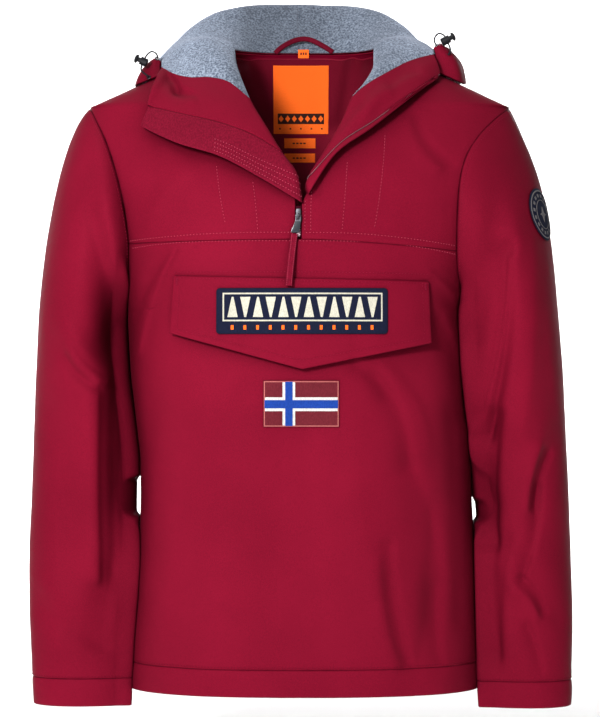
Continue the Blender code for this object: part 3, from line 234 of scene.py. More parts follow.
# The turned-out collar fronts. Each row runs from the outer end to the rolled edge along the open neck.
COLLAR = {
    "left": (
        # roll depth share, outer end, three points across, rolled edge
        ("open", 1, (-159, -8, -19.5), (-130, -29, -17), (-106, -39, -13.5),
         (-87, -47, -18), (-72, -54, -34)),
        ("border", 1, (-158.7, -24, -27), (-126.2, -61, -41.5), (-102.9, -65, -41.9),
         (-82.9, -71, -47), (-58.8, -82.7, -67.9)),
        ("facing", 1, (-166, -63, -52), (-127, -82, -65), (-94, -89.5, -69),
         (-66.5, -95, -79), (-41, -102, -98.5)),
        ("seam", 1, (-170.4, -78, -75.7), (-130.2, -96.7, -86.1), (-87.5, -107.1, -96.9),
         (-53.7, -114.1, -110.4), (-21.9, -119, -131.1)),
        ("wind", 0.8, (-174.6, -83.5, -87), (-134, -106, -102), (-88.5, -118, -116),
         (-48.5, -125, -135), (-6.2, -129.5, -154)),
        ("edge", 0.3, (-178.4, -87.6, -97.7), (-137.7, -113.4, -118.6), (-89.5, -126.8, -134.5),
         (-43.6, -134.2, -159.5), (-0.5, -136.5, -185.7)),
    ),
    "right": (
        ("open", 1, (149.5, -6, -6), (129, -24, -8), (108, -38, -11.5), (94, -46, -17), (79, -54, -33)),
        ("border", 1, (149.5, -12, -10.5), (117, -41.5, -22.5), (87.6, -68.5, -40.5),
         (70, -77.5, -52.5), (56, -82, -66.1)),
        ("facing", 1, (152, -26, -21), (119, -66, -42), (84, -90, -65),
         (58.5, -101, -87), (34, -108.5, -114)),
        ("teeth", 0.8, (154.4, -36, -35.9), (119.8, -82.5, -63.4), (80.3, -104, -93.6),
         (44.1, -118.5, -118.5), (6.8, -131, -160)),
        ("edge", 0.3, (150.2, -50.5, -42.8), (115.1, -89, -69.9), (74.6, -112, -103.4),
         (38, -126.2, -130.6), (7, -136, -176)),
    ),
}

# pocket flap: top edge and pointed lower edge
FLAP_TOP = ((-141.2, -264.7), (139.7, -270.6))
FLAP_FOOT = ((-145.7, -327.1), (0, -366.4), (142.8, -338.0))

# soft folds: surface, start x, start z, end x, end z, width, height
FOLDS = (
    ("front", -150, -262, -118, -395, 24, 2.6),
    ("front", -176, -330, -160, -470, 20, -2.2),
    ("front", 108, -340, 150, -640, 30, -3.0),
    ("front", 60, -420, 96, -640, 34, 2.0),
    ("front", 98, -610, 118, -690, 14, -2.4),
    ("front", -60, -470, -95, -660, 38, 2.2),
    ("front", -120, -560, -140, -690, 20, -2.0),
    ("back", -120, -210, -60, -420, 30, -3.0),
    ("back", 118, -205, 70, -400, 30, -2.6),
    ("back", -30, -300, -50, -640, 40, 2.6),
    ("back", 90, -440, 120, -680, 26, 2.2),
    ("back", -150, -420, -135, -660, 24, -2.4),
    ("left", -236, -150, -214, -330, 16, -4.0),
    ("left", -256, -330, -222, -372, 12, 3.4),
    ("left", -236, -400, -236, -585, 16, 3.2),
    ("left", -276, -420, -262, -560, 16, -2.4),
    ("left", -285, -640, -215, -676, 11, -2.2),
    ("left", -280, -612, -212, -640, 11, 2.0),
    ("right", 236, -215, 196, -430, 12, 3.0),
    ("right", 212, -200, 190, -330, 14, -3.6),
    ("right", 280, -455, 262, -530, 12, -3.0),
    ("right", 248, -585, 284, -640, 12, -2.6),
    ("right", 226, -600, 230, -690, 16, 2.2),
)

# ---------------------------------------------------------------- creases, finer than the folds of the solids

CREASE_GAIN = 1.5  # of the heights below, on the body and the sleeves
CREASE_LEAN = 2.2  # how much slower they fall off on one side
FOLD_ENDS = 1.6  # how far a fold runs out beyond its ends, in its widths
SIDE_FADE = 50  # depth behind or before the side seams over which the folds of the body come up
# surface, start x, start z, end x, end z, sideways bow, width, height
CREASES = (
    ("front", -139, -236, -182, -345, 4, 3.5, 2.0),
    ("front", -150, -242, -194, -330, 4, 5, -1.7),
    ("front", -122, -300, -172, -452, 10, 12, -1.0),
    ("front", -128, -150, -170, -214, 8, 10, 0.9),
    ("front", -156, -120, -176, -190, -6, 9, -0.9),
    ("front", 60, -362, 92, -392, -4, 5, -1.9),
    ("front", 82, -372, 118, -470, -8, 6, -2.1),
    ("front", 98, -372, 138, -452, -8, 7, 1.3),
    ("front", 118, -470, 150, -640, -10, 9, -1.7),
    ("front", 96, -560, 116, -686, 5, 5, -2.2),
    ("front", 84, -580, 104, -688, 5, 5, 1.5),
    ("front", 146, -610, 152, -688, 2, 5, -1.5),
    ("front", 152, -312, 184, -420, -5, 6, -2.2),
    ("front", 176, -640, 168, -420, 3, 12, -2.8),
    ("front", 130, -690, 146, -520, 4, 9, -1.8),
    ("front", 142, -262, 176, -284, 3, 4, 1.1),
    ("front", 146, -272, 172, -312, -4, 5, -1.2),
    ("front", 118, -92, 150, -144, 5, 5, 1.2),
    ("front", 128, -88, 164, -138, 6, 5, -1.2),
    ("front", 27, -145, 18, -173, 2, 3, -0.9),
    ("front", -70, -470, -96, -660, 12, 14, 0.9),
    ("front", 10, -440, 22, -660, 8, 14, -0.7),
    ("front", -28, -450, -36, -640, -6, 12, -0.6),
    ("front", 58, -440, 74, -600, 6, 12, 0.7),
    ("back", -140, -150, -40, -330, 14, 12, -1.3),
    ("back", 130, -150, 60, -310, -12, 12, -1.2),
    ("back", -120, -185, -20, -372, 12, 9, 1.0),
    ("back", 150, -240, 90, -420, -10, 9, 1.1),
    ("back", -60, -500, -84, -680, 6, 10, 1.0),
    ("back", 34, -430, 52, -640, -8, 12, -1.0),
    ("back", 128, -560, 118, -688, 4, 7, -1.1),
    ("back", -150, -590, -140, -688, -4, 7, -1.1),
    ("left", -262, -353, -228, -387, 4, 3.5, -2.2),
    ("left", -256, -345, -220, -380, 4, 4, 1.7),
    ("left", -232, -190, -208, -345, -6, 10, -2.6),
    ("left", -246, -190, -224, -318, -6, 8, 1.0),
    ("left", -229, -386, -229, -600, 2, 5, 2.3),
    ("left", -204, -600, -206, -330, -2, 11, -3.0),
    ("left", -209, -590, -222, -670, 4, 10, -1.8),
    ("left", -276, -470, -270, -690, 3, 8, 0.9),
    ("left", -238, -120, -256, -180, -5, 8, -0.9),
    ("right", 196, -436, 230, -245, 8, 3.5, 2.4),
    ("right", 228, -235, 205, -436, -8, 8, -6.0),
    ("right", 218, -420, 212, -560, 3, 7, -4.0),
    ("right", 226, -560, 216, -690, 3, 9, -2.0),
    ("right", 254, -230, 244, -430, -6, 11, 2.0),
    ("right", 200, -430, 206, -520, 3, 11, -3.0),
    ("right", 279, -462, 262, -522, 3, 3.5, -2.4),
    ("right", 266, -455, 251, -520, 3, 4, 1.6),
    ("right", 268, -500, 246, -598, -4, 4, -2.0),
    ("right", 246, -600, 272, -636, -3, 3.5, -2.2),
    ("right", 240, -612, 262, -642, -3, 4, 1.6),
    ("right", 252, -654, 268, -706, -2, 4, -1.9),
    ("right", 210, -520, 216, -700, 4, 11, -2.4),
    ("right", 268, -330, 284, -430, 3, 8, -1.0),
    ("lining", 50, -2, 38, -68, 0, 6, 2.2),
    ("lining", 59, -6, 52, -84, 0, 5, -2.0),
    ("lining", 71, -12, 60, -98, 0, 6, 1.9),
    ("lining", -62, -3, -46, -58, 3, 6, 2.0),
    ("lining", -73, -14, -60, -104, 3, 6, -1.6),
    ("lining", 46, -96, 30, -150, -3, 6, 1.3),
    ("lining", -40, -96, -30, -158, 3, 6, 1.2),
    ("collar", -154, -37, -170, -74, 2, 4, 2.4),
    ("collar", -149, -38, -138, -56, -2, 3, -2.6),
    ("collar", -140, -54, -123, -60, 1, 3, -2.4),
    ("collar", -121, -60, -121, -72, 0, 3, 1.4),
    ("collar", 128, -34, 100, -50, 3, 4, -1.4),
    ("collar", 96, -62, 72, -84, 3, 4, 1.4),
    ("collar", 62, -76, 44, -98, 2, 4, -1.2),
)

# rows of stitches on the front: surface, points x, z
STITCHES = (
    ("yoke_left", ((-203, -226), (-150, -221.5), (-90, -218.2), (-9.5, -217.6))),
    ("yoke_right", ((3, -217.8), (60, -218.8), (120, -224), (186, -233))),
    ("lower", ((-200, -234.5), (-150, -229), (-90, -227), (-3, -226.8), (60, -227.6), (120, -232),
               (186, -243))),
    ("yoke_left", ((-94, -143), (-90, -175), (-84, -207))),
    ("yoke_left", ((-54, -161), (-50.5, -190), (-48.5, -215))),
    ("yoke_right", ((49.5, -139), (47, -175), (43.5, -215))),
    ("yoke_right", ((91.5, -108), (87, -160), (79, -212))),
    ("yoke_right", ((4, -160), (3.2, -190), (3, -216))),
    ("yoke_right", ((11, -160), (9.5, -190), (9.5, -216))),
)

# ---------------------------------------------------------------- curves


def cubic(t, start, end, leaving, arriving):
    """A curve from start to end over t from 0 to 1, with these slopes at its ends."""
    t2, t3 = t * t, t * t * t
    near = (2 * t3 - 3 * t2 + 1) * start + (t3 - 2 * t2 + t) * leaving
    return near + (3 * t2 - 2 * t3) * end + (t3 - t2) * arriving


def smooth(knots, values, at):
    """A monotone cubic through a short table."""
    x = np.asarray(knots, float)
    y = np.asarray(values, float)
    if x[0] > x[-1]:
        x, y = x[::-1], y[::-1]
    at = np.clip(np.asarray(at, float), x[0], x[-1])
    step = np.diff(x)
    rise = np.diff(y) / step
    slope = np.zeros_like(y)
    slope[0], slope[-1] = rise[0], rise[-1]
    for i in range(1, len(x) - 1):
        if rise[i - 1] * rise[i] > 0:
            near, far = 2 * step[i] + step[i - 1], step[i] + 2 * step[i - 1]
            slope[i] = (near + far) / (near / rise[i - 1] + far / rise[i])
    k = np.clip(np.searchsorted(x, at, side="right") - 1, 0, len(step) - 1)
    return cubic((at - x[k]) / step[k], y[k], y[k + 1], step[k] * slope[k], step[k] * slope[k + 1])


def spline(points, at):
    """Points of a smooth curve through the given ones, at places counted in points from the first."""
    p = np.asarray(points, float)
    gap = np.maximum(np.linalg.norm(np.diff(p, axis=0), axis=1), 1e-6) ** 0.5
    tangent = np.zeros_like(p)
    for i in range(1, len(p) - 1):
        a, b = gap[i - 1], gap[i]
        tangent[i] = ((p[i] - p[i - 1]) / a * b + (p[i + 1] - p[i]) / b * a) / (a + b)
    tangent[0] = 2 * (p[1] - p[0]) / gap[0] - tangent[1]
    tangent[-1] = 2 * (p[-1] - p[-2]) / gap[-1] - tangent[-2]
    k = np.clip(np.floor(at).astype(int), 0, len(p) - 2)
    width = gap[k][:, None]
    return cubic((at - k)[:, None], p[k], p[k + 1], width * tangent[k], width * tangent[k + 1])


def bell(share):
    """1 at 0, with a smooth fall on both sides."""
    return np.exp(-(share**2))


def soft_step(share):
    """0 below 0, 1 above 1 and a smooth rise between."""
    share = np.clip(share, 0, 1)
    return share * share * (3 - 2 * share)


def unit(ways):
    """A vector, or each of an array of them, at length 1."""
    return ways / np.maximum(np.linalg.norm(ways, axis=-1, keepdims=True), 1e-12)


def metres(points):
    """Points of a table, in metres."""
    return [np.array(point, float) * MM for point in points]


def run_of(line):
    """Distance along a line of points."""
    return np.concatenate(([0.0], np.cumsum(np.linalg.norm(np.diff(line, axis=0), axis=1))))


def points_along(line, run, at):
    """Points of a line at distances along it; run is the distance of each of its own points."""
    return np.stack([np.interp(at, run, column) for column in line.T], axis=1)


def resample(line, at):
    """Points at fractions of a line's length."""
    run = run_of(line)
    return points_along(line, run, np.asarray(at) * run[-1])


def through(points, at):
    """Points at fractions of the length of a smooth curve through the given ones."""
    return resample(spline(points, np.linspace(0, len(points) - 1, 40 * len(points))), at)


SEAM_ROWS = (0, 0.7, 1.5, 2.6, 4.2)  # distances from a seam or edge that need their own rows


def spaced(length, step, start=True, end=True):
    """Places from 0 to 1 along a length: even steps, and closer ones beside the seams at its ends."""
    near = np.array(SEAM_ROWS, float)
    low = near if start else near[:1]
    high = length - near[::-1] if end else np.array([float(length)])
    count = max(int(round((high[0] - low[-1]) / (step * COARSER))), 2)
    return np.concatenate([low[:-1], np.linspace(low[-1], high[0], count + 1), high[1:]]) / length


# ---------------------------------------------------------------- the body form


def half_width(z, side):
    """Half the width of the body at a height."""
    tip = SHOULDER_TIP[side] * MM
    table = np.array(BODY_WIDTH, float) * MM
    below = smooth(table[:, 0], table[:, 1 if side == "left" else 2], z)
    neck = NECK_HALF_WIDTH * MM
    above = neck + (tip - neck) * np.clip(np.asarray(z) / (SHOULDER_TIP["z"] * MM), 0, 1)
    return np.where(np.asarray(z) > SHOULDER_TIP["z"] * MM, above, below)


def depth(z, back):
    """Depth of the front or back of the body at a height."""
    table = np.array(BODY_DEPTH, float) * MM
    return smooth(table[:, 0], table[:, 2 if back else 1], z)


def body_y(x, z, back=False):
    """Depth coordinate of the body surface at x, z."""
    x = np.asarray(x, float)
    half = np.where(x < 0, half_width(z, "left"), half_width(z, "right"))
    share = np.clip(np.abs(x) / half, 0, 1)
    out = depth(z, back) * (1 - share**SQUARENESS) ** (1 / SQUARENESS)
    return out if back else -out


def front_normal(x, z):
    """The way that the front of the body faces at x, z."""
    step = 0.5 * MM
    across = float(body_y(x + step, z) - body_y(x - step, z)) / (2 * step)
    up = float(body_y(x, z + step) - body_y(x, z - step)) / (2 * step)
    return unit(np.array((across, -1.0, up)))


def seam_drop(x, row):
    """How far a row of the front leaves its height, so that the yoke seam falls towards the armholes."""
    near = np.clip(1 - abs(row - YOKE_ROW) / YOKE_DROP["reach"], 0, 1)
    share = np.clip(np.abs(x) / (YOKE_DROP["width"] * MM), 0, 1) ** YOKE_DROP["power"]
    fall = np.where(x < 0, YOKE_DROP["left"], YOKE_DROP["right"]) * MM
    return fall * share * near


def ridges(table, surface, x, z, lean=1.0):
    """Height of the folds of one surface at x, z. Rows may have a sideways bow before width and height.

    With lean, a fold falls off that many times slower on the viewer's left of a line that runs down.
    """
    total = np.zeros_like(np.asarray(x, float))
    for where, x0, z0, x1, z1, *bow, width, height in table:
        if where != surface:
            continue
        start = np.array((x0, z0)) * MM
        along = np.array((x1, z1)) * MM - start
        length = np.linalg.norm(along)
        way = along / length
        dx, dz = x - start[0], z - start[1]
        t = dx * way[0] + dz * way[1]
        off = dx * way[1] - dz * way[0]
        if bow:
            share = np.clip(t / length, 0, 1)
            off = off - bow[0] * MM * 4 * share * (1 - share)
        off = np.where(off > 0, off / lean, off)
        past = np.maximum(np.maximum(-t, t - length), 0)
        total += height * MM * bell(off / (width * MM)) * bell(past / (FOLD_ENDS * width * MM))
    return total


def fold_height(surface, x, z):
    """Height of the folds and creases of one surface at x, z."""
    return ridges(FOLDS, surface, x, z) + CREASE_GAIN * ridges(CREASES, surface, x, z, CREASE_LEAN)


def body_row(row, x_from, x_to, at, back):
    """Points of the body at one height, at fractions of the way from x_from to x_to."""
    z = row * MM
    left, right = float(half_width(z, "left")), float(half_width(z, "right"))

    def angle(x):
        half = left if x < 0 else right
        c = np.clip(abs(x) / half, 0, 1) ** (SQUARENESS / 2)
        return math.acos(math.copysign(c, x))

    c = np.cos(np.linspace(angle(x_from), angle(x_to), 600))
    x = np.sign(c) * np.abs(c) ** (2 / SQUARENESS) * np.where(c < 0, left, right)
    zs = z + (0 if back else seam_drop(x, row))
    y = body_y(x, zs, back)
    away = np.clip(np.abs(y) / (SIDE_FADE * MM), 0, 1) ** 2
    height = fold_height("back" if back else "front", x, zs) * away * (3 - 2 * away)
    y = y + (height if back else -height)
    return resample(np.stack([x, y, zs + np.zeros_like(x)], axis=1), at)


def limit(row, side, back):
    """x of the outer edge of a body panel at one row: side seam, armhole or shoulder seam."""
    sign = -1 if side == "left" else 1
    if ARMPIT < row < SHOULDER_TIP["z"]:
        table = np.array(ARMHOLE, float)
        column = {(False, "left"): 1, (False, "right"): 2, (True, "left"): 3, (True, "right"): 4}
        return sign * float(smooth(table[:, 0], table[:, column[(back, side)]], row)) * MM
    return sign * float(half_width(row * MM, side))


def neck_edge(row, side):
    """x of the edge of a front yoke along the open neck and the zip."""
    if row <= V_FOOT:
        return ZIP_EDGE[side] * MM
    table = np.array(V_EDGE, float)
    return float(smooth(table[:, 0], table[:, 1 if side == "left" else 2], row)) * MM


# ---------------------------------------------------------------- making pieces


ALL_SIDES = ("foot", "top", "start", "end")  # the sides of a grid: first and last row, first and last column


def add_object(name, data):
    made = bpy.data.objects.new(name, data)
    bpy.context.scene.collection.objects.link(made)
    return made


def materials_of(made, *looks):
    """Gives a piece these materials and no others."""
    made.data.materials.clear()
    for look in looks:
        made.data.materials.append(look)


def add_mesh(name, points, faces, looks, body=BODY, smooth_faces=True, inner_from=None):
    """A mesh piece that rides on a body; faces from inner_from on take the second material."""
    mesh = bpy.data.meshes.new(name)
    mesh.from_pydata(np.asarray(points).tolist(), [], [tuple(int(i) for i in face) for face in faces])
    mesh.polygons.foreach_set("use_smooth", [smooth_faces] * len(mesh.polygons))
    made = add_object(name, mesh)
    materials_of(made, *looks)
    if inner_from is not None:
        index = np.zeros(len(mesh.polygons), int)
        index[inner_from:] = 1
        mesh.polygons.foreach_set("material_index", index)
    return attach(made, body)


def grid_cells(rows, columns, closed=False, keep=None):
    """Quads of a grid whose rows are stored one after the other."""
    r, c = np.meshgrid(np.arange(rows - 1), np.arange(columns if closed else columns - 1), indexing="ij")
    r, c = r.ravel(), c.ravel()
    if keep is not None:
        chosen = keep(r, c)
        r, c = r[chosen], c[chosen]
    d = (c + 1) % columns
    return np.stack([r * columns + c, r * columns + d, (r + 1) * columns + d, (r + 1) * columns + c], axis=1)


def normals_of(grid, closed=False):
    """Unit normals of a grid of points, from its rows and columns."""
    up = np.gradient(grid, axis=0)
    if closed:
        wrapped = np.concatenate([grid[:, -1:], grid, grid[:, :1]], axis=1)
        across = np.gradient(wrapped, axis=1)[:, 1:-1]
    else:
        across = np.gradient(grid, axis=1)
    return unit(np.cross(across, up))


def puckers(points, size, seed):
    """Smooth noise from -1 to 1 at points, size across."""
    shift = np.array((seed * 1.37, seed * 2.11, seed * 0.73))
    flat = points.reshape(-1, 3) / size + shift
    return np.array([noise.noise(Vector(p)) for p in flat]).reshape(points.shape[:-1])


def uneven(points, layers):
    """Height of layers of noise at points."""
    height = 0
    for high, size, seed, upright in layers:
        height = height + high * MM * puckers(points * np.array((1, 1, upright)), size * MM, seed)
    return height


ALLOWANCE = 2.4 * MM  # how far the cloth beyond an armhole seam goes in and under the body's edge
# layers of noise: height, size, seed, and how much it is drawn out upright (1 is not at all)
UNEVENNESS = ((0.5, 75, 3, 1), (0.15, 20, 5, 1), (0.3, 30, 7, 0.3))  # of all cloth
NAP = ((0.22, 3.4, 21, 1), (0.5, 30, 22, 1))  # of the fleece
COARSE_WEAVE = ((0.16, 2.8, 31, 1),)  # of the placket
# beside a seam: the groove's depth and reach, how far off the unevenness begins, the size of the pulls, the
# place, reach and height of the roll beside the groove, and the height and size of its fine puckers
SEAM = {
    "depth": 0.8, "reach": 0.9, "calm": 12, "pull": 13, "roll_at": 7, "roll_reach": 5, "roll": 0.18,
    "fine": 0.22, "fine_size": 6,
}


def distances(grid, closed):
    """Distance of each point of a grid from its first and last row and first and last column."""
    down = np.linalg.norm(np.diff(grid, axis=0), axis=2)
    rows = np.concatenate([np.zeros((1, grid.shape[1])), np.cumsum(down, axis=0)])
    out = {"foot": rows, "top": rows[-1:] - rows}
    if not closed:
        side = np.linalg.norm(np.diff(grid, axis=1), axis=2)
        columns = np.concatenate([np.zeros((grid.shape[0], 1)), np.cumsum(side, axis=1)], axis=1)
        out |= {"start": columns, "end": columns[:, -1:] - columns}
    return out


def rim_of(cells):
    """Edges that only one of the cells has."""
    following = dict.fromkeys((a, b) for cell in cells for a, b in zip(cell, cell[1:] + cell[:1]))
    return [(a, b) for a, b in following if (b, a) not in following]


forms = {}  # the outer points of each shell


def allowance(seam):
    """The cloth beyond an armhole seam: a row of points under the edge of the body."""
    x, y, z = seam.T
    over_tip = np.clip((z / MM - SHOULDER_TIP["z"]) / 30 + 1, 0, 1)
    inward = np.stack([-np.sign(x), -np.clip(y / (30 * MM), -1, 1), -over_tip], axis=1)
    return seam + inward * ALLOWANCE


def shell(
    name, grid, thick, looks, closed=False, seams=(), edges=(), keep=None, relief=None, rough=1.0, body=BODY,
    tucked=False,
):
    """A thin closed shell inwards from a grid of outer points, which replaces the node it is named after.

    seams and edges name sides of the grid: a seam has a groove beside it, an edge is rounded. relief gives an
    extra height from the grid and the distances from its sides, and rough scales the soft unevenness of the
    cloth. With tucked, the cloth goes on under its neighbour beyond the last row.
    """
    normal = normals_of(grid, closed)
    near = distances(grid, closed)
    height = rough * uneven(grid, UNEVENNESS)
    if seams:
        pull = 1 + 0.5 * puckers(grid, SEAM["pull"] * MM, 9)
        roll = SEAM["roll"] * MM * pull + SEAM["fine"] * MM * puckers(grid, SEAM["fine_size"] * MM, 11)
    for side in seams:
        height = height * (1 - bell(near[side] / (SEAM["calm"] * MM)))
    for side in seams:
        height = height - SEAM["depth"] * MM * pull * bell(near[side] / (SEAM["reach"] * MM))
        height = height + roll * bell((near[side] - SEAM["roll_at"] * MM) / (SEAM["roll_reach"] * MM))
    if relief is not None:
        height = height + relief(grid, near)
    outer = grid + normal * height[..., None]
    inner = outer - normal * thick
    forms[name.removesuffix("_cloth")] = outer
    radius = thick / 2
    for side in edges:
        short = np.clip(radius - near[side], 0, radius)
        drop = radius - np.sqrt(np.maximum(radius**2 - short**2, 0))
        outer = outer - normal * drop[..., None]
        inner = inner + normal * drop[..., None]
    if tucked:
        under = allowance(outer[-1])
        outer = np.concatenate([outer, under[None]])
        inner = np.concatenate([inner, (under - normal[-1] * 0.4 * MM)[None]])
    rows, columns = outer.shape[:2]
    quads = grid_cells(rows, columns, closed, keep)
    size = rows * columns
    used = np.unique(quads)
    place = np.full(2 * size, -1)
    place[used] = np.arange(len(used))
    place[used + size] = np.arange(len(used)) + len(used)
    points = np.concatenate([outer.reshape(-1, 3)[used], inner.reshape(-1, 3)[used]])
    outside = place[quads].tolist()
    inside = place[quads[:, ::-1] + size].tolist()
    wall = [(place[b], place[a], place[a + size], place[b + size]) for a, b in rim_of(quads.tolist())]
    faces = outside + wall + inside
    inner_from = len(outside) + len(wall) if len(looks) > 1 else None
    made = add_mesh(name, points, faces, looks, body, inner_from=inner_from)
    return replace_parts(made, name.removesuffix("_cloth"))


def tree_of(made):
    """The surface of a piece, to land points on."""
    faces = [tuple(face.vertices) for face in made.data.polygons]
    return BVHTree.FromPolygons([tuple(v.co) for v in made.data.vertices], faces)


def land(tree, point, way):
    """The first point of a surface that a ray meets, and the normal there."""
    hit = tree.ray_cast(Vector(point), Vector(way))
    if hit[0] is None:
        return None, None
    return np.array(hit[0]), np.array(hit[1])


# ---------------------------------------------------------------- materials


def node_tree(name):
    made = bpy.data.materials.new(name)
    made.use_nodes = True
    return made, made.node_tree.nodes, made.node_tree.links


def noise_node(nodes, links, scale, detail, stretch=(1, 1, 1)):
    """Noise in the piece's own space, scale per metre."""
    place = nodes.new("ShaderNodeTexCoord")
    mapping = nodes.new("ShaderNodeMapping")
    mapping.inputs["Scale"].default_value = stretch
    texture = nodes.new("ShaderNodeTexNoise")
    texture.inputs["Scale"].default_value = scale
    texture.inputs["Detail"].default_value = detail
    links.new(place.outputs["Object"], mapping.inputs["Vector"])
    links.new(mapping.outputs["Vector"], texture.inputs["Vector"])
    return texture.outputs["Fac"]


def mixed(nodes, links, factor, low, high, first, second):
    """A colour that goes from first to second as factor goes from low to high."""
    ramp = nodes.new("ShaderNodeValToRGB")
    ramp.color_ramp.elements[0].position = low
    ramp.color_ramp.elements[0].color = (*first, 1)
    ramp.color_ramp.elements[1].position = high
    ramp.color_ramp.elements[1].color = (*second, 1)
    links.new(factor, ramp.inputs["Fac"])
    return ramp.outputs["Color"]


def times(nodes, links, colour, other):
    """One colour multiplied by another."""
    mix = nodes.new("ShaderNodeMix")
    mix.data_type = "RGBA"
    mix.blend_type = "MULTIPLY"
    mix.inputs["Factor"].default_value = 1.0
    links.new(colour, mix.inputs["A"])
    links.new(other, mix.inputs["B"])
    return mix.outputs["Result"]


def bumped(nodes, links, height, strength, distance):
    """Raises a material's surface by a height from 0 to 1, times distance in metres."""
    bump = nodes.new("ShaderNodeBump")
    bump.inputs["Strength"].default_value = strength
    bump.inputs["Distance"].default_value = distance
    links.new(height, bump.inputs["Height"])
    links.new(bump.outputs["Normal"], nodes["Principled BSDF"].inputs["Normal"])


# painted shade of the cloth deep between pieces, from how open it is round each point:
# how far around a point of the cloth is looked at, in metres, and how open it is where it turns dark and
# where it is bright
PAINTED_HOLLOW_SHADE = {"distance": 0.09, "range": (0.45, 0.95)}


def cloth(
    name, colour, rough, sheen=0.3, weave=1600, weave_height=0.00004, depth_of_colour=0.1, grey=(0.78, 1.0),
    gloss=0.12, hollow_shade_factor=None,
):
    """Woven cloth: colour that varies softly over the piece and from thread to thread, with a fine weave.

    Given a shade factor, it carries painted shade: darker by that factor deep between two pieces.
    """
    made, nodes, links = node_tree(name)
    shader = nodes["Principled BSDF"]
    colour = np.array(colour)
    soft = noise_node(nodes, links, 9, 3)
    base = mixed(nodes, links, soft, 0.3, 0.7, colour * (1 - depth_of_colour), colour * (1 + depth_of_colour))
    thread = noise_node(nodes, links, weave, 1, (1, 1, 0.55))
    dots = mixed(nodes, links, thread, 0.35, 0.65, (grey[0],) * 3, (grey[1],) * 3)
    woven = times(nodes, links, base, dots)
    # painted shade: the cloth turns darker where little is open round it, deep between pieces
    if hollow_shade_factor:
        openness = nodes.new("ShaderNodeAmbientOcclusion")
        openness.samples = 4
        openness.inputs["Distance"].default_value = PAINTED_HOLLOW_SHADE["distance"]
        shade = mixed(nodes, links, openness.outputs["AO"], *PAINTED_HOLLOW_SHADE["range"], (hollow_shade_factor,) * 3, (1.0,) * 3)
        woven = times(nodes, links, woven, shade)
    links.new(woven, shader.inputs["Base Color"])
    bumped(nodes, links, thread, 0.5, weave_height)
    shader.inputs["Roughness"].default_value = rough
    shader.inputs["Sheen Weight"].default_value = sheen
    shader.inputs["Sheen Roughness"].default_value = 0.45
    shader.inputs["Sheen Tint"].default_value = (*np.clip(colour * 2.2 + 0.02, 0, 1), 1)
    shader.inputs["Specular IOR Level"].default_value = gloss
    shader.inputs["Specular Tint"].default_value = (*np.clip(colour / colour.max() + 0.08, 0, 1), 1)
    return made


def hard(name, colour, rough, metallic=0.0, gloss=0.5):
    """Metal or moulded plastic with a fine uneven surface."""
    made, nodes, links = node_tree(name)
    shader = nodes["Principled BSDF"]
    colour = np.array(colour)
    patchy = noise_node(nodes, links, 260, 3)
    base = mixed(nodes, links, patchy, 0.3, 0.75, colour * 0.8, colour * 1.15)
    links.new(base, shader.inputs["Base Color"])
    fine = noise_node(nodes, links, 900, 2)
    dullness = nodes.new("ShaderNodeMapRange")
    dullness.inputs["To Min"].default_value = rough * 0.75
    dullness.inputs["To Max"].default_value = rough * 1.25
    links.new(fine, dullness.inputs["Value"])
    links.new(dullness.outputs["Result"], shader.inputs["Roughness"])
    bumped(nodes, links, fine, 0.3, 0.00002)
    shader.inputs["Metallic"].default_value = metallic
    shader.inputs["Specular IOR Level"].default_value = gloss
    return made


def fleece_look(name):
    """Brushed fleece in heathered blue-grey with a soft nap, and painted shade that makes it darker behind the
    neck.
    """
    made, nodes, links = node_tree(name)
    shader = nodes["Principled BSDF"]
    heather = noise_node(nodes, links, 470, 3)
    patches = noise_node(nodes, links, 55, 3)
    base = mixed(nodes, links, heather, 0.37, 0.66, (0.075, 0.094, 0.135), (0.34, 0.40, 0.50))
    cloudy = mixed(nodes, links, patches, 0.3, 0.7, (0.78,) * 3, (1.0,) * 3)
    # painted shade: a ramp across x darkens the fleece behind the neck
    place = nodes.new("ShaderNodeTexCoord")
    split = nodes.new("ShaderNodeSeparateXYZ")
    links.new(place.outputs["Object"], split.inputs["Vector"])
    across = nodes.new("ShaderNodeMapRange")
    across.inputs["From Min"].default_value, across.inputs["From Max"].default_value = FLEECE_PAINTED_SHADE["reach"]
    links.new(split.outputs["X"], across.inputs["Value"])
    ramp = nodes.new("ShaderNodeValToRGB")
    stops = ramp.color_ramp.elements
    stops[0].color, stops[1].color = (1, 1, 1, 1), (1, 1, 1, 1)
    for at, shade in FLEECE_PAINTED_SHADE["stops"]:
        stop = stops.new(at)
        stop.color = (shade, shade, shade, 1)
    links.new(across.outputs["Result"], ramp.inputs["Fac"])
    light = times(nodes, links, base, cloudy)
    links.new(times(nodes, links, light, ramp.outputs["Color"]), shader.inputs["Base Color"])
    bumped(nodes, links, heather, 0.8, 0.0006)
    shader.inputs["Roughness"].default_value = 0.95
    shader.inputs["Sheen Weight"].default_value = 0.3
    shader.inputs["Sheen Roughness"].default_value = 0.6
    shader.inputs["Sheen Tint"].default_value = (0.75, 0.82, 1.0, 1)
    shader.inputs["Specular IOR Level"].default_value = 0.05
    return made


# painted shade on the fleece behind the neck: a stretch of x in metres, and shades along it
FLEECE_PAINTED_SHADE = {
    "reach": (-0.125, 0.150),
    "stops": ((0.14, 0.76), (0.22, 0.40), (0.50, 0.46), (0.64, 0.66), (0.78, 0.62), (0.9, 0.95)),
}
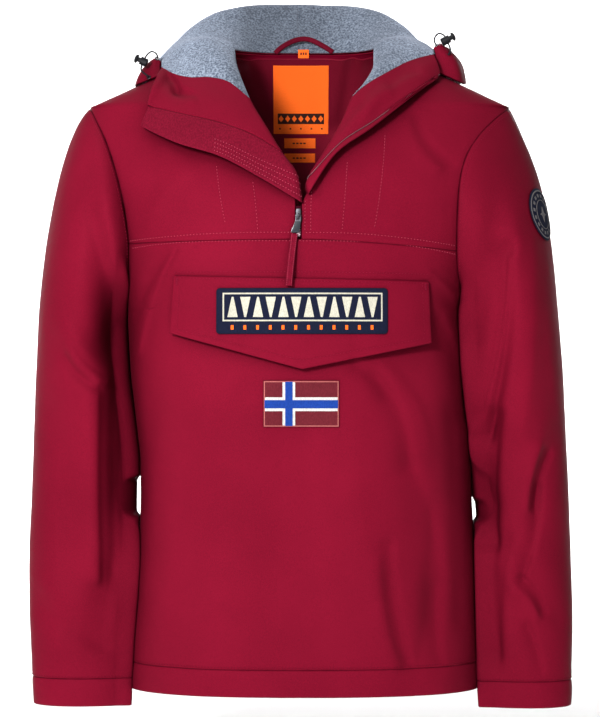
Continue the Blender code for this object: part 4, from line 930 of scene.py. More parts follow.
# the red cloth carries painted shade deep between pieces
RED = cloth("anorak_cloth", (0.168, 0.0044, 0.0178), rough=0.55, sheen=0.05, gloss=0.05, hollow_shade_factor=0.4)
RED_BAND = cloth(
    "placket_cloth", (0.150, 0.0048, 0.0180), rough=0.7, sheen=0.08, weave=700, weave_height=0.0004,
    grey=(0.70, 1.0),
)
INSIDE = cloth("inside_cloth", (0.150, 0.0020, 0.0155), rough=0.6, sheen=0.05)
LINING = cloth("back_lining_cloth", (0.130, 0.0045, 0.0150), rough=0.42, sheen=0.06, gloss=0.3)
FLEECE = fleece_look("fleece")
LOOP = cloth("loop_tape", (0.085, 0.0028, 0.0105), rough=0.55, weave=1100, weave_height=0.0001)
ORANGE = cloth(
    "orange_label", (0.92, 0.135, 0.016), rough=0.6, sheen=0.1, depth_of_colour=0.05, grey=(0.88, 1.0)
)
NAVY = cloth("navy_twill", (0.0075, 0.009, 0.022), rough=0.8, sheen=0.2, weave=900, weave_height=0.0001)
CREAM = cloth("cream_thread", (0.50, 0.475, 0.39), rough=0.75, weave=900, weave_height=0.00012)
WHITE = cloth("white_thread", (0.56, 0.55, 0.53), rough=0.75, weave=900, weave_height=0.00012)
DULL = cloth("dull_thread", (0.13, 0.12, 0.125), rough=0.8, weave=900, weave_height=0.00012)
PRINT = cloth("label_print", (0.03, 0.012, 0.010), rough=0.7, weave=900)
FLAG_RED = cloth("flag_red_thread", (0.115, 0.014, 0.021), rough=0.8, weave=800, weave_height=0.00015)
FLAG_BLUE = cloth("flag_blue_thread", (0.013, 0.046, 0.26), rough=0.75, weave=800, weave_height=0.00015)
PINK = cloth("patch_border_thread", (0.36, 0.10, 0.095), rough=0.8, weave=900)
THREAD = cloth("red_thread", (0.44, 0.055, 0.10), rough=0.6, sheen=0.2)
DARK_THREAD = cloth("dark_red_thread", (0.235, 0.008, 0.030), rough=0.6, sheen=0.1)
BLACK = hard("black_plastic", (0.005, 0.005, 0.007), 0.40, gloss=0.22)
CORD = cloth("black_cord", (0.011, 0.011, 0.014), rough=0.7, weave=1400, weave_height=0.0002)
METAL = hard("gunmetal", (0.060, 0.060, 0.068), 0.34, metallic=1.0)
SLATE = hard("tab_field", (0.018, 0.021, 0.027), 0.45, gloss=0.15)
TEETH = hard("zip_teeth", (0.36, 0.24, 0.27), 0.35, metallic=0.7)
TAPE = cloth("zip_tape_cloth", (0.030, 0.002, 0.006), rough=0.7, weave=1200, weave_height=0.0001)
SHELL = (RED, INSIDE)

# ---------------------------------------------------------------- body panels

STEP = 3.0  # usual distance between the rows and between the columns of a shell
PANEL = 1.9 * MM  # thickness of a padded panel
BAND = 2.8 * MM  # thickness of hem and cuffs


def seam_row(row_from, row_to, *ends):
    """Heights of the rows of a panel from one seam to the next."""
    return row_from + (row_to - row_from) * spaced(abs(row_to - row_from), STEP, *ends)


def front_grid(rows, left, right, at):
    """Points of a front panel; left and right give its edges at each row."""
    return np.array([body_row(row, left(row), right(row), at, False) for row in rows])


wide = spaced(480, STEP)
narrow = spaced(240, STEP)
front_lower = shell(
    "front_lower_cloth",
    front_grid(
        seam_row(HEM_SEAM, YOKE_ROW), lambda r: limit(r, "left", False), lambda r: limit(r, "right", False),
        wide,
    ),
    PANEL, SHELL, seams=ALL_SIDES,
)
tip_row = SHOULDER_TIP["z"]
yoke_rows = np.concatenate([seam_row(YOKE_ROW, tip_row, True, False), seam_row(tip_row, 0, False, True)[1:]])
yoke_left = shell(
    "front_yoke_left_cloth",
    front_grid(yoke_rows, lambda r: limit(r, "left", False), lambda r: neck_edge(r, "left"), narrow),
    PANEL, SHELL, seams=("foot", "top", "start"),
)
yoke_right = shell(
    "front_yoke_right_cloth",
    front_grid(yoke_rows, lambda r: neck_edge(r, "right"), lambda r: limit(r, "right", False), narrow),
    PANEL, SHELL, seams=("foot", "top", "end"),
)
back_rows = np.concatenate([
    seam_row(HEM_SEAM, ARMPIT, True, False), seam_row(ARMPIT, tip_row, False, False)[1:],
    seam_row(tip_row, 0, False, True)[1:],
])
shell(
    "back_cloth",
    np.array([body_row(r, limit(r, "right", True), limit(r, "left", True), wide, True) for r in back_rows]),
    PANEL, SHELL, seams=ALL_SIDES,
)


def band_relief(grid, near):
    """Hem and cuffs puff out a little between their seam and their folded edge."""
    return 0.6 * MM * np.sin(math.pi * np.clip(near["top"] / (near["top"] + near["foot"]), 0, 1))


def hem_row(row):
    """Points of the hem band all round at one height."""
    front = body_row(row, limit(row, "left", False), limit(row, "right", False), wide, False)
    rear = body_row(row, limit(row, "right", True), limit(row, "left", True), wide, True)
    return np.concatenate([front[:-1], rear[:-1]])


hem_grid = np.array([hem_row(r) for r in seam_row(HEM_FOOT, HEM_SEAM)])
shell("hem_band_cloth", hem_grid, BAND, SHELL, True, seams=("top",), edges=("foot",), relief=band_relief)

# ---------------------------------------------------------------- sleeves

# heights between which a gap shows between arm and body, and how soon the arm comes in above and below them
HANGING_FREE = {"left": (-531, -490), "right": (-537, -515), "turn": 8}
CUFF_RING = 11  # the ring of the cuff seam, counted from the armhole
KEEP = {0: 1, 1: 0.72, 2: 0.34, 3: 0.10}  # how much of the armhole's shape the first rings keep
SLEEVE_HALVES = (360, 270)  # lengths that give the number of points on a ring's front and back half
# how far the inner side of a ring leans out: its middle and its reach round the ring, in radians
LEANING = {"at": 0.75, "reach": 0.45}
# the back of a sleeve has the folds of its front, narrower, further in, higher up and lower in height
BEHIND = {"across": 0.97, "in": 6, "up": 30, "height": 0.8}
BODY_GAP = {"rings": 1.6, "next": 0.5, "folds": 0.4}  # room beside the body: of the rings, and with folds
TOUCH = {"reach": 20.0, "power": 4}  # how far off a sleeve is still drawn in to the body, and how steeply
BESIDE_BODY = {"from": -235, "over": 50}  # from this height down, over this stretch, a sleeve keeps clear


def armhole_line(side, back):
    """The armhole from the shoulder tip down to the armpit."""
    out = []
    for row in np.linspace(SHOULDER_TIP["z"], ARMPIT, 60):
        ends = body_row(row, limit(row, "right", back), limit(row, "left", back), np.array([0.0, 1.0]), back)
        out.append(ends[1 if side == "left" else 0])
    return np.array(out)


def sleeve(side):
    """Grids of sleeve and cuff from their rings; each ring starts at the shoulder and runs down the front."""
    sign = -1 if side == "left" else 1
    down, up = armhole_line(side, False), armhole_line(side, True)[::-1]
    fore, aft = (spaced(length, STEP, False, False) / 2 for length in SLEEVE_HALVES)
    around = np.concatenate([fore, 0.5 + aft[1:-1]])
    first = np.concatenate([
        resample(down, around[around <= 0.5] * 2), resample(up, around[around > 0.5] * 2 - 1)
    ])
    turn = around * 2 * math.pi
    tip, pit = first[0], down[-1]
    low, high = first[:, 1].min(), first[:, 1].max()
    middle, half = (low + high) / 2, (high - low) / 2
    start = (sign * tip[0] / MM, tip[2] / MM, sign * pit[0] / MM, pit[2] / MM, middle / MM, half / MM, 0)
    table = np.array((start,) + SLEEVE[side], float)

    def ellipse(ox, oz, ix, iz, y, deep):
        """A ring round its outermost and innermost point."""
        outer, inner = np.array((sign * ox, y, oz)) * MM, np.array((sign * ix, y, iz)) * MM
        ring = (outer + inner) / 2 + np.cos(turn)[:, None] * (outer - inner) / 2
        ring[:, 1] = (y - np.sin(turn) * deep) * MM
        return ring

    lean = first - ellipse(*table[0][:6])

    def ring(at):
        """The form of one ring of the table, without folds."""
        ox, oz, ix, iz, y, deep, over = table[at]
        out = ellipse(ox, oz, ix, iz, y, deep)
        place = math.pi - math.copysign(LEANING["at"], -over)
        out[:, 0] -= sign * abs(over) * MM * bell((turn - place) / LEANING["reach"])
        out = out + lean * KEEP.get(at, 0)
        return beside_body(out, side, BODY_GAP["rings"] + BODY_GAP["next"] * min(at, 3)) if at else out

    def folded(out, at):
        """A ring with its folds, which fade towards the armhole and the cuff."""
        away = unit(out - out.mean(axis=0))
        facing, behind = np.clip(-away[:, 1] * 1.6, 0, 1), np.clip(away[:, 1] * 1.6, 0, 1)
        fade = np.clip(CUFF_RING - at, 0, 1) * np.clip(at, 0, 1)
        front = fold_height(side, out[:, 0], out[:, 2])
        across = out[:, 0] * BEHIND["across"] - sign * BEHIND["in"] * MM
        rear = fold_height(side, across, out[:, 2] + BEHIND["up"] * MM)
        out = out + away * ((front * facing + BEHIND["height"] * rear * behind) * fade)[:, None]
        return beside_body(out, side, BODY_GAP["folds"], touch=True) if at > 0.2 else out

    coarse = np.array([ring(at) for at in range(len(table))])
    run = run_of(coarse.mean(axis=1)) / MM

    def rings(a, b):
        """Fine rings between two rings of the table, from the lower one up."""
        places = run[a] + (run[b] - run[a]) * spaced(run[b] - run[a], STEP)
        at = np.interp(places, run, range(len(run)))
        fine = spline(coarse.reshape(len(table), -1), at).reshape(len(at), -1, 3)
        grid = np.array([folded(out, k) for out, k in zip(fine, at)])[::-1]
        return grid if side == "left" else np.concatenate([grid[:, :1], grid[:, :0:-1]], axis=1)

    return rings(0, CUFF_RING), rings(CUFF_RING, len(table) - 1)


def beside_body(ring, side, gap, touch=False):
    """Moves the points of a sleeve ring out to gap mm where the body is in their way.

    With touch, points a little beyond the gap come in to it, but for the height where the arms hang free.
    """
    sign = -1 if side == "left" else 1
    x, y, z = ring.T
    behind = y > 0
    share = np.clip(np.abs(y) / np.where(behind, depth(z, True), depth(z, False)), 0, 1)
    edge = half_width(z, side) * (1 - share**SQUARENESS) ** (1 / SQUARENESS)
    table = np.array(ARMHOLE, float)
    columns = (1, 3) if side == "left" else (2, 4)
    front, back = (smooth(table[:, 0], table[:, i], z / MM) * MM for i in columns)
    edge = np.where(z > ARMPIT * MM, np.minimum(edge, np.where(behind, back, front)), edge)
    over = np.abs(x) - edge - gap * MM
    if touch:
        reach = TOUCH["reach"] * MM
        drawn = np.where(over < reach, over * np.clip(over / reach, 0, 1) ** TOUCH["power"], over)
        low, high = HANGING_FREE[side]
        above, below = (z / MM - low) / HANGING_FREE["turn"], (high - z / MM) / HANGING_FREE["turn"]
        free = soft_step(above + 0.5) * soft_step(below + 0.5)
        over = drawn + (over - drawn) * free
    aside = sign * (edge + gap * MM + np.maximum(over, 0))
    share = soft_step((BESIDE_BODY["from"] - z / MM) / BESIDE_BODY["over"])
    return np.stack([x + (aside - x) * share, y, z], axis=1)


sleeves = {}
for side in ("left", "right"):
    arm, cuff = sleeve(side)
    sleeves[side] = shell(
        f"sleeve_{side}_cloth", arm, PANEL, SHELL, True, seams=("foot", "top"), rough=1.3, tucked=True
    )
    shell(f"cuff_{side}_cloth", cuff, BAND, SHELL, True, seams=("top",), edges=("foot",), relief=band_relief)

# ---------------------------------------------------------------- hood and turned-out collar

AIR = 0.2 * MM  # from the middle of the hood to each ply
PLY = 1.8 * MM
FACING = 2.4 * MM
HOOD_STEP = 3.0
POUCH_STEP = 5.0
COLLAR_STEP = {"up": 4.0, "across": 3.5}
CHANNEL_STEP = 2.5
NECK_TO_FOLD, FOLD_TO_BOTTOM, BOTTOM_TO_RIM = 110, 150, 110  # usual lengths of the hood's sections
# the rolled edge of a collar front: how far its points lie out from the edge, and under or over it
ROLL = {"tuck_out": 0.4, "tuck_in": 6.2, "turn_in": 3.0, "crest_out": 1.2, "top_out": 5.0, "top_up": 0.8}
# how far parts of the pouch stand out: at most, and as a share of their height
POUCH = {"fall": (6, 0.06), "swell": (18, 0.28), "bottom": (9, 0.13)}
POUCH_LIFT = 0.25  # how far the bottom's corners lie above it, as a share of its half width
POUCH_SHARE = 5 / 9  # how far from the fold to the rim the channel pieces start
SHELL_SHARE = -0.36  # how far before the fold the outer ply starts over the ends of the pouch


def rolled(row, at):
    """Section of a collar front from the edge tucked into the open neck to the outer end."""
    roll = row[1]
    outer, first, second, third, edge = metres(row[2:])
    out = unit(third - edge)
    up = front_normal(edge[0], min(edge[2], -4 * MM))
    side = unit(up - out * np.dot(up, out))
    tuck = edge + out * ROLL["tuck_out"] * MM - side * ROLL["tuck_in"] * roll * MM
    turn = edge - side * ROLL["turn_in"] * roll * MM
    crest = edge + out * ROLL["crest_out"] * MM
    top = edge + out * ROLL["top_out"] * MM + side * ROLL["top_up"] * MM
    return through([tuck, turn, crest, top, third, second, first, outer], at)


def hood_section(row, sign, front_at, pouch_at):
    """Section of the hood from the neck seam to the fold, and from the fold to the rim."""
    neck, rise, fold, bottom, rim = (
        np.array((HOOD_MIDDLE * (i > 0) + sign * d, y, z), float) * MM for i, (d, y, z) in enumerate(row)
    )
    centre = np.array((HOOD_MIDDLE, 20, 0)) * MM
    away = unit(((bottom + fold) / 2 - centre) * (1, 1, 0))

    def stands_out(part, start, end):
        most, share = POUCH[part]
        return away * min(most * MM, share * np.linalg.norm(end - start))

    fall = (fold + bottom) / 2 + stands_out("fall", fold, bottom)
    swell = (bottom + rim) / 2 + stands_out("swell", rim, bottom)
    wide = stands_out("bottom", fold, bottom)
    lift = np.array((0, 0, POUCH_LIFT * np.linalg.norm(wide)))
    points = [neck, rise, fold, fall, bottom - wide + lift, bottom + wide + lift, swell, rim]
    line = through(points, np.linspace(0, 1, 400))
    at = int(np.argmin(np.linalg.norm(line - fold, axis=1)))
    return resample(line[: at + 1], front_at), resample(line[at:], pouch_at)


COLLAR_COLUMNS = 2  # sections of the collar fronts at either end, which stop at the fold
front_at = spaced(NECK_TO_FOLD, HOOD_STEP, True, False)
low_pouch = spaced(FOLD_TO_BOTTOM, POUCH_STEP, False, False)
high_pouch = spaced(BOTTOM_TO_RIM, POUCH_STEP, False, True)
pouch_at = np.concatenate([low_pouch * POUCH_SHARE, POUCH_SHARE + (1 - POUCH_SHARE) * high_pouch[1:]])[1:]
full_rows = [(row, -1) for row in reversed(HOOD_ENDS["left"])] + [(row, -1) for row in reversed(HOOD_BACK)]
full_rows += [(row, 1) for row in HOOD_BACK[1:]] + [(row, 1) for row in HOOD_ENDS["right"]]
full = [hood_section(row, sign, front_at, np.concatenate([[0], pouch_at])) for row, sign in full_rows]
front_sections = [rolled(COLLAR["left"][i], front_at) for i in (1, 0)] + [s[0] for s in full]
front_sections += [rolled(COLLAR["right"][i], front_at) for i in (0, 1)]
front_sections = np.array(front_sections)
pouch_sections = np.array([s[1] for s in full])
# hood_front and hood_pouch are fine grids over all sections; places are counted in sections
SECTIONS = len(front_sections)
middle_section = SECTIONS // 2
places = [0.0]
for i in range(SECTIONS - 1):
    apart = np.linalg.norm(front_sections[i + 1] - front_sections[i], axis=1).max() / MM
    steps = max(2, int(round(apart / (HOOD_STEP * COARSER))))
    places += [i + k / steps for k in range(1, steps + 1)]
places = np.array(places)
inner_places = (places >= COLLAR_COLUMNS) & (places <= SECTIONS - 1 - COLLAR_COLUMNS)
hood_front = np.array([spline(front_sections[:, i], places) for i in range(len(front_at))])
hood_pouch = np.repeat(hood_front[-1:], len(pouch_at), axis=0)
for i in range(len(pouch_at)):
    hood_pouch[i, inner_places] = spline(pouch_sections[:, i + 1], places[inner_places] - COLLAR_COLUMNS)
hood = np.concatenate([hood_front, hood_pouch])
hood_normal = normals_of(hood)
row_share = np.concatenate([front_at - 1, pouch_at])  # -1 at the neck, 0 on the fold, 1 at the rim
first_full, last_full = COLLAR_COLUMNS, SECTIONS - 1 - COLLAR_COLUMNS


def hood_cells(low, high, ply):
    """Which cells of the hood a ply has between two sections."""
    at, share = (places[:-1] + places[1:]) / 2, (row_share[:-1] + row_share[1:]) / 2

    def keep(r, c):
        place, up = at[c], share[r]
        inside = (place > low) & (place < high)
        full = (place > first_full + 1) & (place < last_full - 1)
        end = (place > first_full) & (place < last_full) & ~full
        if ply == "lining":
            return inside & (full | (up < 0) | (end & (up < POUCH_SHARE)))
        return inside & (full | (end & (up > SHELL_SHARE) & (up < POUCH_SHARE)))

    return keep


fleece_grid = hood + hood_normal * (AIR + PLY)


def nap(grid, near):
    """The uneven surface of the fleece."""
    return uneven(grid, NAP)


for side, low, high in (("left", -1, middle_section), ("right", middle_section, SECTIONS)):
    name = f"hood_lining_{side}_cloth"
    shell(name, fleece_grid, PLY, (FLEECE,), keep=hood_cells(low, high, "lining"), relief=nap)
outside = (hood - hood_normal * (AIR + PLY))[:, ::-1]
flipped = hood_cells(-1, SECTIONS, "shell")
shell("hood_shell_cloth", outside, PLY, SHELL, keep=lambda r, c: flipped(r, len(places) - 2 - c), rough=1.6)


def blended(points, at):
    """A smooth line through the same place of each row, at places counted in rows."""
    p = np.asarray(points, float)
    k = np.clip(np.floor(at).astype(int), 0, len(p) - 2)
    leaving = (p[k + 1] - p[np.maximum(k - 1, 0)]) / 2
    arriving = (p[np.minimum(k + 2, len(p) - 1)] - p[k]) / 2
    return cubic((at - k)[:, None], p[k], p[k + 1], leaving, arriving)


def collar_grid(side, first, last, width):
    """Outer points of a collar piece between two named rows."""
    names = [row[0] for row in COLLAR[side]]
    up = spaced(150, COLLAR_STEP["up"], False, True)
    sections = np.array([rolled(row, up) for row in COLLAR[side]])
    a, b = names.index(first), names.index(last)
    at = a + (b - a) * spaced(width, COLLAR_STEP["across"])
    grid = np.array([blended(sections[:, i], at) for i in range(sections.shape[1])])
    if side == "left":
        grid = grid[:, ::-1]
    return grid + normals_of(grid) * (AIR + PLY)


def coarse_grain(grid, near):
    """The coarse weave of the placket."""
    return uneven(grid, COARSE_WEAVE)


def collar_creases(grid, near):
    return fold_height("collar", grid[..., 0], grid[..., 2])


for side, piece, first, last, width, seams, edges in (
    ("left", "facing_left", "border", "seam", 50, ("start", "end"), ("top",)),
    ("left", "placket", "seam", "edge", 32, ("end",), ("top", "start")),
    ("right", "facing_right", "border", "teeth", 40, ("start", "end"), ("top",)),
    ("right", "zip_tape", "teeth", "edge", 12, ("start",), ("top", "end")),
):
    grid = collar_grid(side, first, last, width)
    looks = (RED_BAND if piece == "placket" else RED,)
    relief = coarse_grain if piece == "placket" else collar_creases
    shell(f"{piece}_cloth", grid, FACING, looks, seams=seams, edges=edges, relief=relief, rough=0.7)


def channel_grid(side):
    """The outer face of the cord channel, from the pouch wall round its end to the collar front."""
    wall_at = POUCH_SHARE + (1 - POUCH_SHARE) * spaced(BOTTOM_TO_RIM, CHANNEL_STEP, False, True)
    column = 1 if side == "left" else len(pouch_sections) - 2
    wall = resample(pouch_sections[column], wall_at)[::-1]
    down = np.linspace(0, 1, len(wall))
    rows = np.array([wall] + [through(metres(row), down) for row in CHANNEL[side]])
    sections = len(CHANNEL[side])
    at = spaced(sections * 14, CHANNEL_STEP, False, True) * sections
    fine = np.array([spline(rows[:, i], at) for i in range(rows.shape[1])]).transpose(1, 0, 2)
    if side == "left":
        fine = fine[::-1]
    grid = fine[:, ::-1].transpose(1, 0, 2)
    return (grid - normals_of(grid) * (AIR + PLY))[:, ::-1]


PLEATS = {"apart": 5.5 * MM, "height": 0.7 * MM, "reach": 28 * MM, "left": 0.35, "right": 1.0}


def gathers(side):
    """The channel is drawn up on its cord, with small pleats from its rim down."""
    strength = PLEATS[side]

    def relief(grid, near):
        across = near["start" if side == "right" else "end"]
        waves = np.sin(across / PLEATS["apart"] * 2 * math.pi + 3 * puckers(grid, 0.02, 41))
        return PLEATS["height"] * strength * waves * bell(near["top"] / PLEATS["reach"])

    return relief


for side in ("left", "right"):
    name = f"channel_{side}_cloth"
    shell(name, channel_grid(side), 2.3 * MM, (RED,), edges=("top",), relief=gathers(side))

# ---------------------------------------------------------------- pieces that lie on others


def lander(tree, way=(0, 1, 0), start=(0, -1, 0), side=(1, 0, 0), up=(0, 0, 1)):
    """A function from places a, b on a plane to the points where they land on a surface, seen along a way."""
    way, start, side, up = (np.array(v, float) for v in (way, start, side, up))

    def place(a, b, lift=0.0):
        point, _ = land(tree, start + side * a + up * b, way)
        return point - way * lift

    return place


def landed(place, flat, lift):
    """A grid of points over a surface, from a grid of places on the plane in mm and a lift in mm."""
    lift = np.broadcast_to(lift, flat.shape[:2])
    return np.array([
        [place(a * MM, b * MM, h * MM) for (a, b), h in zip(row, heights)] for row, heights in zip(flat, lift)
    ])


def rectangle(left, right, top, bottom, step, corner=0.0):
    """Places on a rectangle in mm, with round corners if asked."""
    middle, half = (left + right) / 2, (right - left) / 2
    rows = []
    for z in bottom + (top - bottom) * spaced(top - bottom, step):
        into = max(corner - min(top - z, z - bottom), 0)
        short = corner - math.sqrt(max(corner**2 - into**2, 0))
        rows.append([(middle + (half - short) * (2 * u - 1), z) for u in spaced(right - left, step)])
    return np.array(rows)


def tiles(name, quads, place, lift, thick, look, step=3.0):
    """Small raised plates, one for each quadrilateral of places in mm, joined into one piece."""
    points, faces = [], []
    for quad in quads:
        a, b, c, d = (np.array(p, float) for p in quad)
        nu = max(1, math.ceil(max(np.linalg.norm(b - a), np.linalg.norm(c - d)) / step))
        nv = max(1, math.ceil(max(np.linalg.norm(d - a), np.linalg.norm(c - b)) / step))
        start = len(points)
        flat = [
            (a + (b - a) * u / nu) * (1 - v / nv) + (d + (c - d) * u / nu) * v / nv
            for v in range(nv + 1) for u in range(nu + 1)
        ]
        upper = [place(p[0] * MM, p[1] * MM, (lift + thick) * MM) for p in flat]
        lower = [place(p[0] * MM, p[1] * MM, lift * MM) for p in flat]
        size = len(flat)
        points += upper + lower
        cells = grid_cells(nv + 1, nu + 1).tolist()
        faces += [tuple(start + i for i in cell) for cell in cells]
        faces += [tuple(start + size + i for i in cell[::-1]) for cell in cells]
        faces += [(start + q, start + p, start + p + size, start + q + size) for p, q in rim_of(cells)]
    return add_mesh(name, points, faces, (look,), smooth_faces=False)


def box_quad(left, right, top, bottom):
    """The corners of a rectangle."""
    return ((left, bottom), (right, bottom), (right, top), (left, top))


def frame_quads(left, right, top, bottom, width):
    """Four bars round a rectangle."""
    high, low = top - width, bottom + width
    return [
        box_quad(left, right, top, high), box_quad(left, right, low, bottom),
        box_quad(left, left + width, high, low), box_quad(right - width, right, high, low),
    ]


on_front = lander(tree_of(front_lower))
TIP_SHARE = (0 - FLAP_FOOT[0][0]) / (FLAP_FOOT[2][0] - FLAP_FOOT[0][0])
FLAP_THICK = 2.2
# how far the back of the flap stands off the front: at its top, more at its sides, at its foot and at its right
FLAP_STAND = {"top": 0.6, "sides": 0.7, "foot": 8, "right": 4, "right_from": 0.7}


def flap_grid():
    """The pocket flap, which stands off the front towards its pointed lower edge."""
    u = np.concatenate([
        TIP_SHARE * spaced(146, 4, True, False), TIP_SHARE + (1 - TIP_SHARE) * spaced(143, 4, False, True)[1:]
    ])
    down = spaced(85, 4)[::-1, None]
    (left, left_z), (right, right_z) = FLAP_TOP
    top_x, top_z = left + (right - left) * u, left_z + (right_z - left_z) * u
    foot_x = FLAP_FOOT[0][0] + (FLAP_FOOT[2][0] - FLAP_FOOT[0][0]) * u
    foot_z = np.interp(foot_x, [p[0] for p in FLAP_FOOT], [p[1] for p in FLAP_FOOT])
    flat = np.stack([top_x + (foot_x - top_x) * down, top_z + (foot_z - top_z) * down], axis=2)
    stand = FLAP_STAND["top"] + FLAP_STAND["sides"] * np.abs(2 * u - 1)[None, :] ** 3
    stand = stand + FLAP_STAND["foot"] * down**1.5
    right = np.clip((u - FLAP_STAND["right_from"]) / (1 - FLAP_STAND["right_from"]), 0, 1)[None, :]
    stand = stand + FLAP_STAND["right"] * down * right
    return landed(on_front, flat, stand + FLAP_THICK + 0.1)


FLAP_HEM = 8.5  # distance of the flap's stitching from its edge


def flap_relief(grid, near):
    """The groove of the flap's stitching, and the roll of cloth between it and the edge."""
    line = np.minimum(np.minimum(near["foot"], near["start"]), near["end"]) / MM
    return -0.3 * MM * bell((line - FLAP_HEM) / 1.2) + 0.4 * MM * bell((line - 4) / 3)


flap = shell(
    "pocket_flap_cloth", flap_grid(), FLAP_THICK * MM, (RED,), seams=("top",),
    edges=("foot", "start", "end"), relief=flap_relief,
)
on_flap = lander(tree_of(flap))
PATCH_THICK = 1.1 * MM
LABEL_THICK = 0.9 * MM
name_patch = shell(
    "name_patch_cloth", landed(on_flap, rectangle(-93.6, 93.6, -278.3, -328.3, 4, 4), 1.5),
    PATCH_THICK, (NAVY,),
    edges=ALL_SIDES, rough=0.2,
)
on_patch = lander(tree_of(name_patch))

# a plain geometric border in place of the photo's lettering: peaks inside a frame, and a row of small marks
PATCH = {"left": -86.5, "right": 87.5, "top": -283.5, "bottom": -314.5, "line": 1.6}
PEAKS = 12
peak = (PATCH["right"] - PATCH["left"] - 8) / PEAKS
peaks = []
for k in range(PEAKS):
    x = PATCH["left"] + 4 + peak * (k + 0.5)
    high, low = PATCH["top"] - 4.5, PATCH["bottom"] + 4.5
    up = k % 2 == 0
    narrow_z, wide_z = (high, low) if up else (low, high)
    quad = ((x - 5.6, wide_z), (x + 5.6, wide_z), (x + 1.0, narrow_z), (x - 1.0, narrow_z))
    peaks.append(quad if up else quad[::-1])
border = frame_quads(PATCH["left"], PATCH["right"], PATCH["top"], PATCH["bottom"], PATCH["line"])
tiles("name_patch_pattern", border + peaks, on_patch, -0.1, 0.5, CREAM)
marks = [box_quad(x - 1.5, x + 1.5, -318.8, -323.6) for x in np.linspace(-76, 76, 12)]
tiles("name_patch_marks", marks, on_patch, -0.1, 0.45, ORANGE)

# the flag of the photo: a blue cross edged in white on dark red
FLAG = {"left": -42.1, "right": 40.2, "top": -379.1, "bottom": -429.5}
WHITE_CROSS = {"left": -21.3, "right": -7.6, "top": -397.2, "bottom": -412.2}
BLUE_CROSS = {"left": -18.4, "right": -10.3, "top": -400.2, "bottom": -409.2}
flag = shell(
    "flag_patch_cloth", landed(on_front, rectangle(*FLAG.values(), 4), 1.5), 1.05 * MM, (FLAG_RED,),
    edges=ALL_SIDES, rough=0.2,
)
on_flag = lander(tree_of(flag))


def cross_quads(cross, inset):
    """The arms of a cross from edge to edge of the flag."""
    inward = {"left": 1, "right": -1, "top": -1, "bottom": 1}
    left, right, top, bottom = (FLAG[side] + sign * inset for side, sign in inward.items())
    return [
        box_quad(left, right, cross["top"], cross["bottom"]),
        box_quad(cross["left"], cross["right"], top, cross["top"]),
        box_quad(cross["left"], cross["right"], cross["bottom"], bottom),
    ]


tiles("flag_white_cross", cross_quads(WHITE_CROSS, 1.3), on_flag, -0.1, 0.35, WHITE)
tiles("flag_blue_cross", cross_quads(BLUE_CROSS, 1.1), on_flag, -0.1, 0.6, FLAG_BLUE)
rim = {side: at + (0.5 if side in ("left", "bottom") else -0.5) for side, at in FLAG.items()}
tiles("flag_border", frame_quads(*rim.values(), 1.2), on_flag, -0.1, 0.45, PINK)

# round sleeve badge
BADGE = {"centre": (272.5, -42, -193), "way": (-0.91, 0.41, 0.06), "across": 58.0}
badge_way = unit(np.array(BADGE["way"]))
badge_side = unit(np.cross(badge_way, (0, 0, 1)))
badge_up = np.cross(badge_side, badge_way)
badge_start = np.array(BADGE["centre"]) * MM - badge_way * 0.05
on_sleeve = lander(tree_of(sleeves["right"]), badge_way, badge_start, badge_side, badge_up)
line = np.linspace(-1, 1, 25)
disc = np.array([[(a * math.sqrt(1 - b * b / 2), b * math.sqrt(1 - a * a / 2)) for a in line] for b in line])
badge_grid = landed(on_sleeve, disc * BADGE["across"] / 2, 2.0)
badge = shell("sleeve_patch_cloth", badge_grid, PATCH_THICK, (NAVY,), edges=ALL_SIDES, rough=0.2)
on_badge = lander(tree_of(badge), badge_way, badge_start, badge_side, badge_up)


def ring_quads(inner, outer, count, gap=0.0):
    """Pieces of a ring between two radii."""
    out = []
    for k in range(count):
        a, b = (2 * math.pi * (k + e) / count for e in (gap / 2, 1 - gap / 2))
        corners = ((inner, a), (outer, a), (outer, b), (inner, b))
        out.append(tuple((radius * math.cos(turn), radius * math.sin(turn)) for radius, turn in corners))
    return out


rings = ring_quads(25.6, 26.9, 48) + ring_quads(15.6, 16.4, 36)
tiles("sleeve_patch_rings", rings, on_badge, -0.1, 0.45, DULL)
tiles("sleeve_patch_marks", ring_quads(19.2, 22.6, 16, 0.55), on_badge, -0.1, 0.4, DULL)
star = [((0, -8.5), (4.2, 0), (0, 8.5), (-4.2, 0)), ((-8.5, 0), (0, -2.6), (8.5, 0), (0, 2.6))]
tiles("sleeve_patch_star", star, on_badge, -0.1, 0.5, DULL)

# ---------------------------------------------------------------- inner back, labels and hanger loop

LINING_REACH = (
    # z, half width
    (-205, 62), (-180, 74), (-157, 84), (-134, 90), (-111, 93), (-89, 94),
    (-70, 94), (-53, 93), (-36, 91), (-18, 88), (-2.5, 84),
)


def back_lining_grid():
    """The smooth inner back, a little inside the wall of the back."""
    heights, reaches = zip(*LINING_REACH)
    rows = []
    for row in heights[0] + (heights[-1] - heights[0]) * spaced(heights[-1] - heights[0], 5):
        reach = float(smooth(heights, reaches, row)) * MM
        rows.append(body_row(row, -reach, reach, spaced(180, 5), True))
    grid = np.array(rows)
    return grid + normals_of(grid) * 4.8 * MM


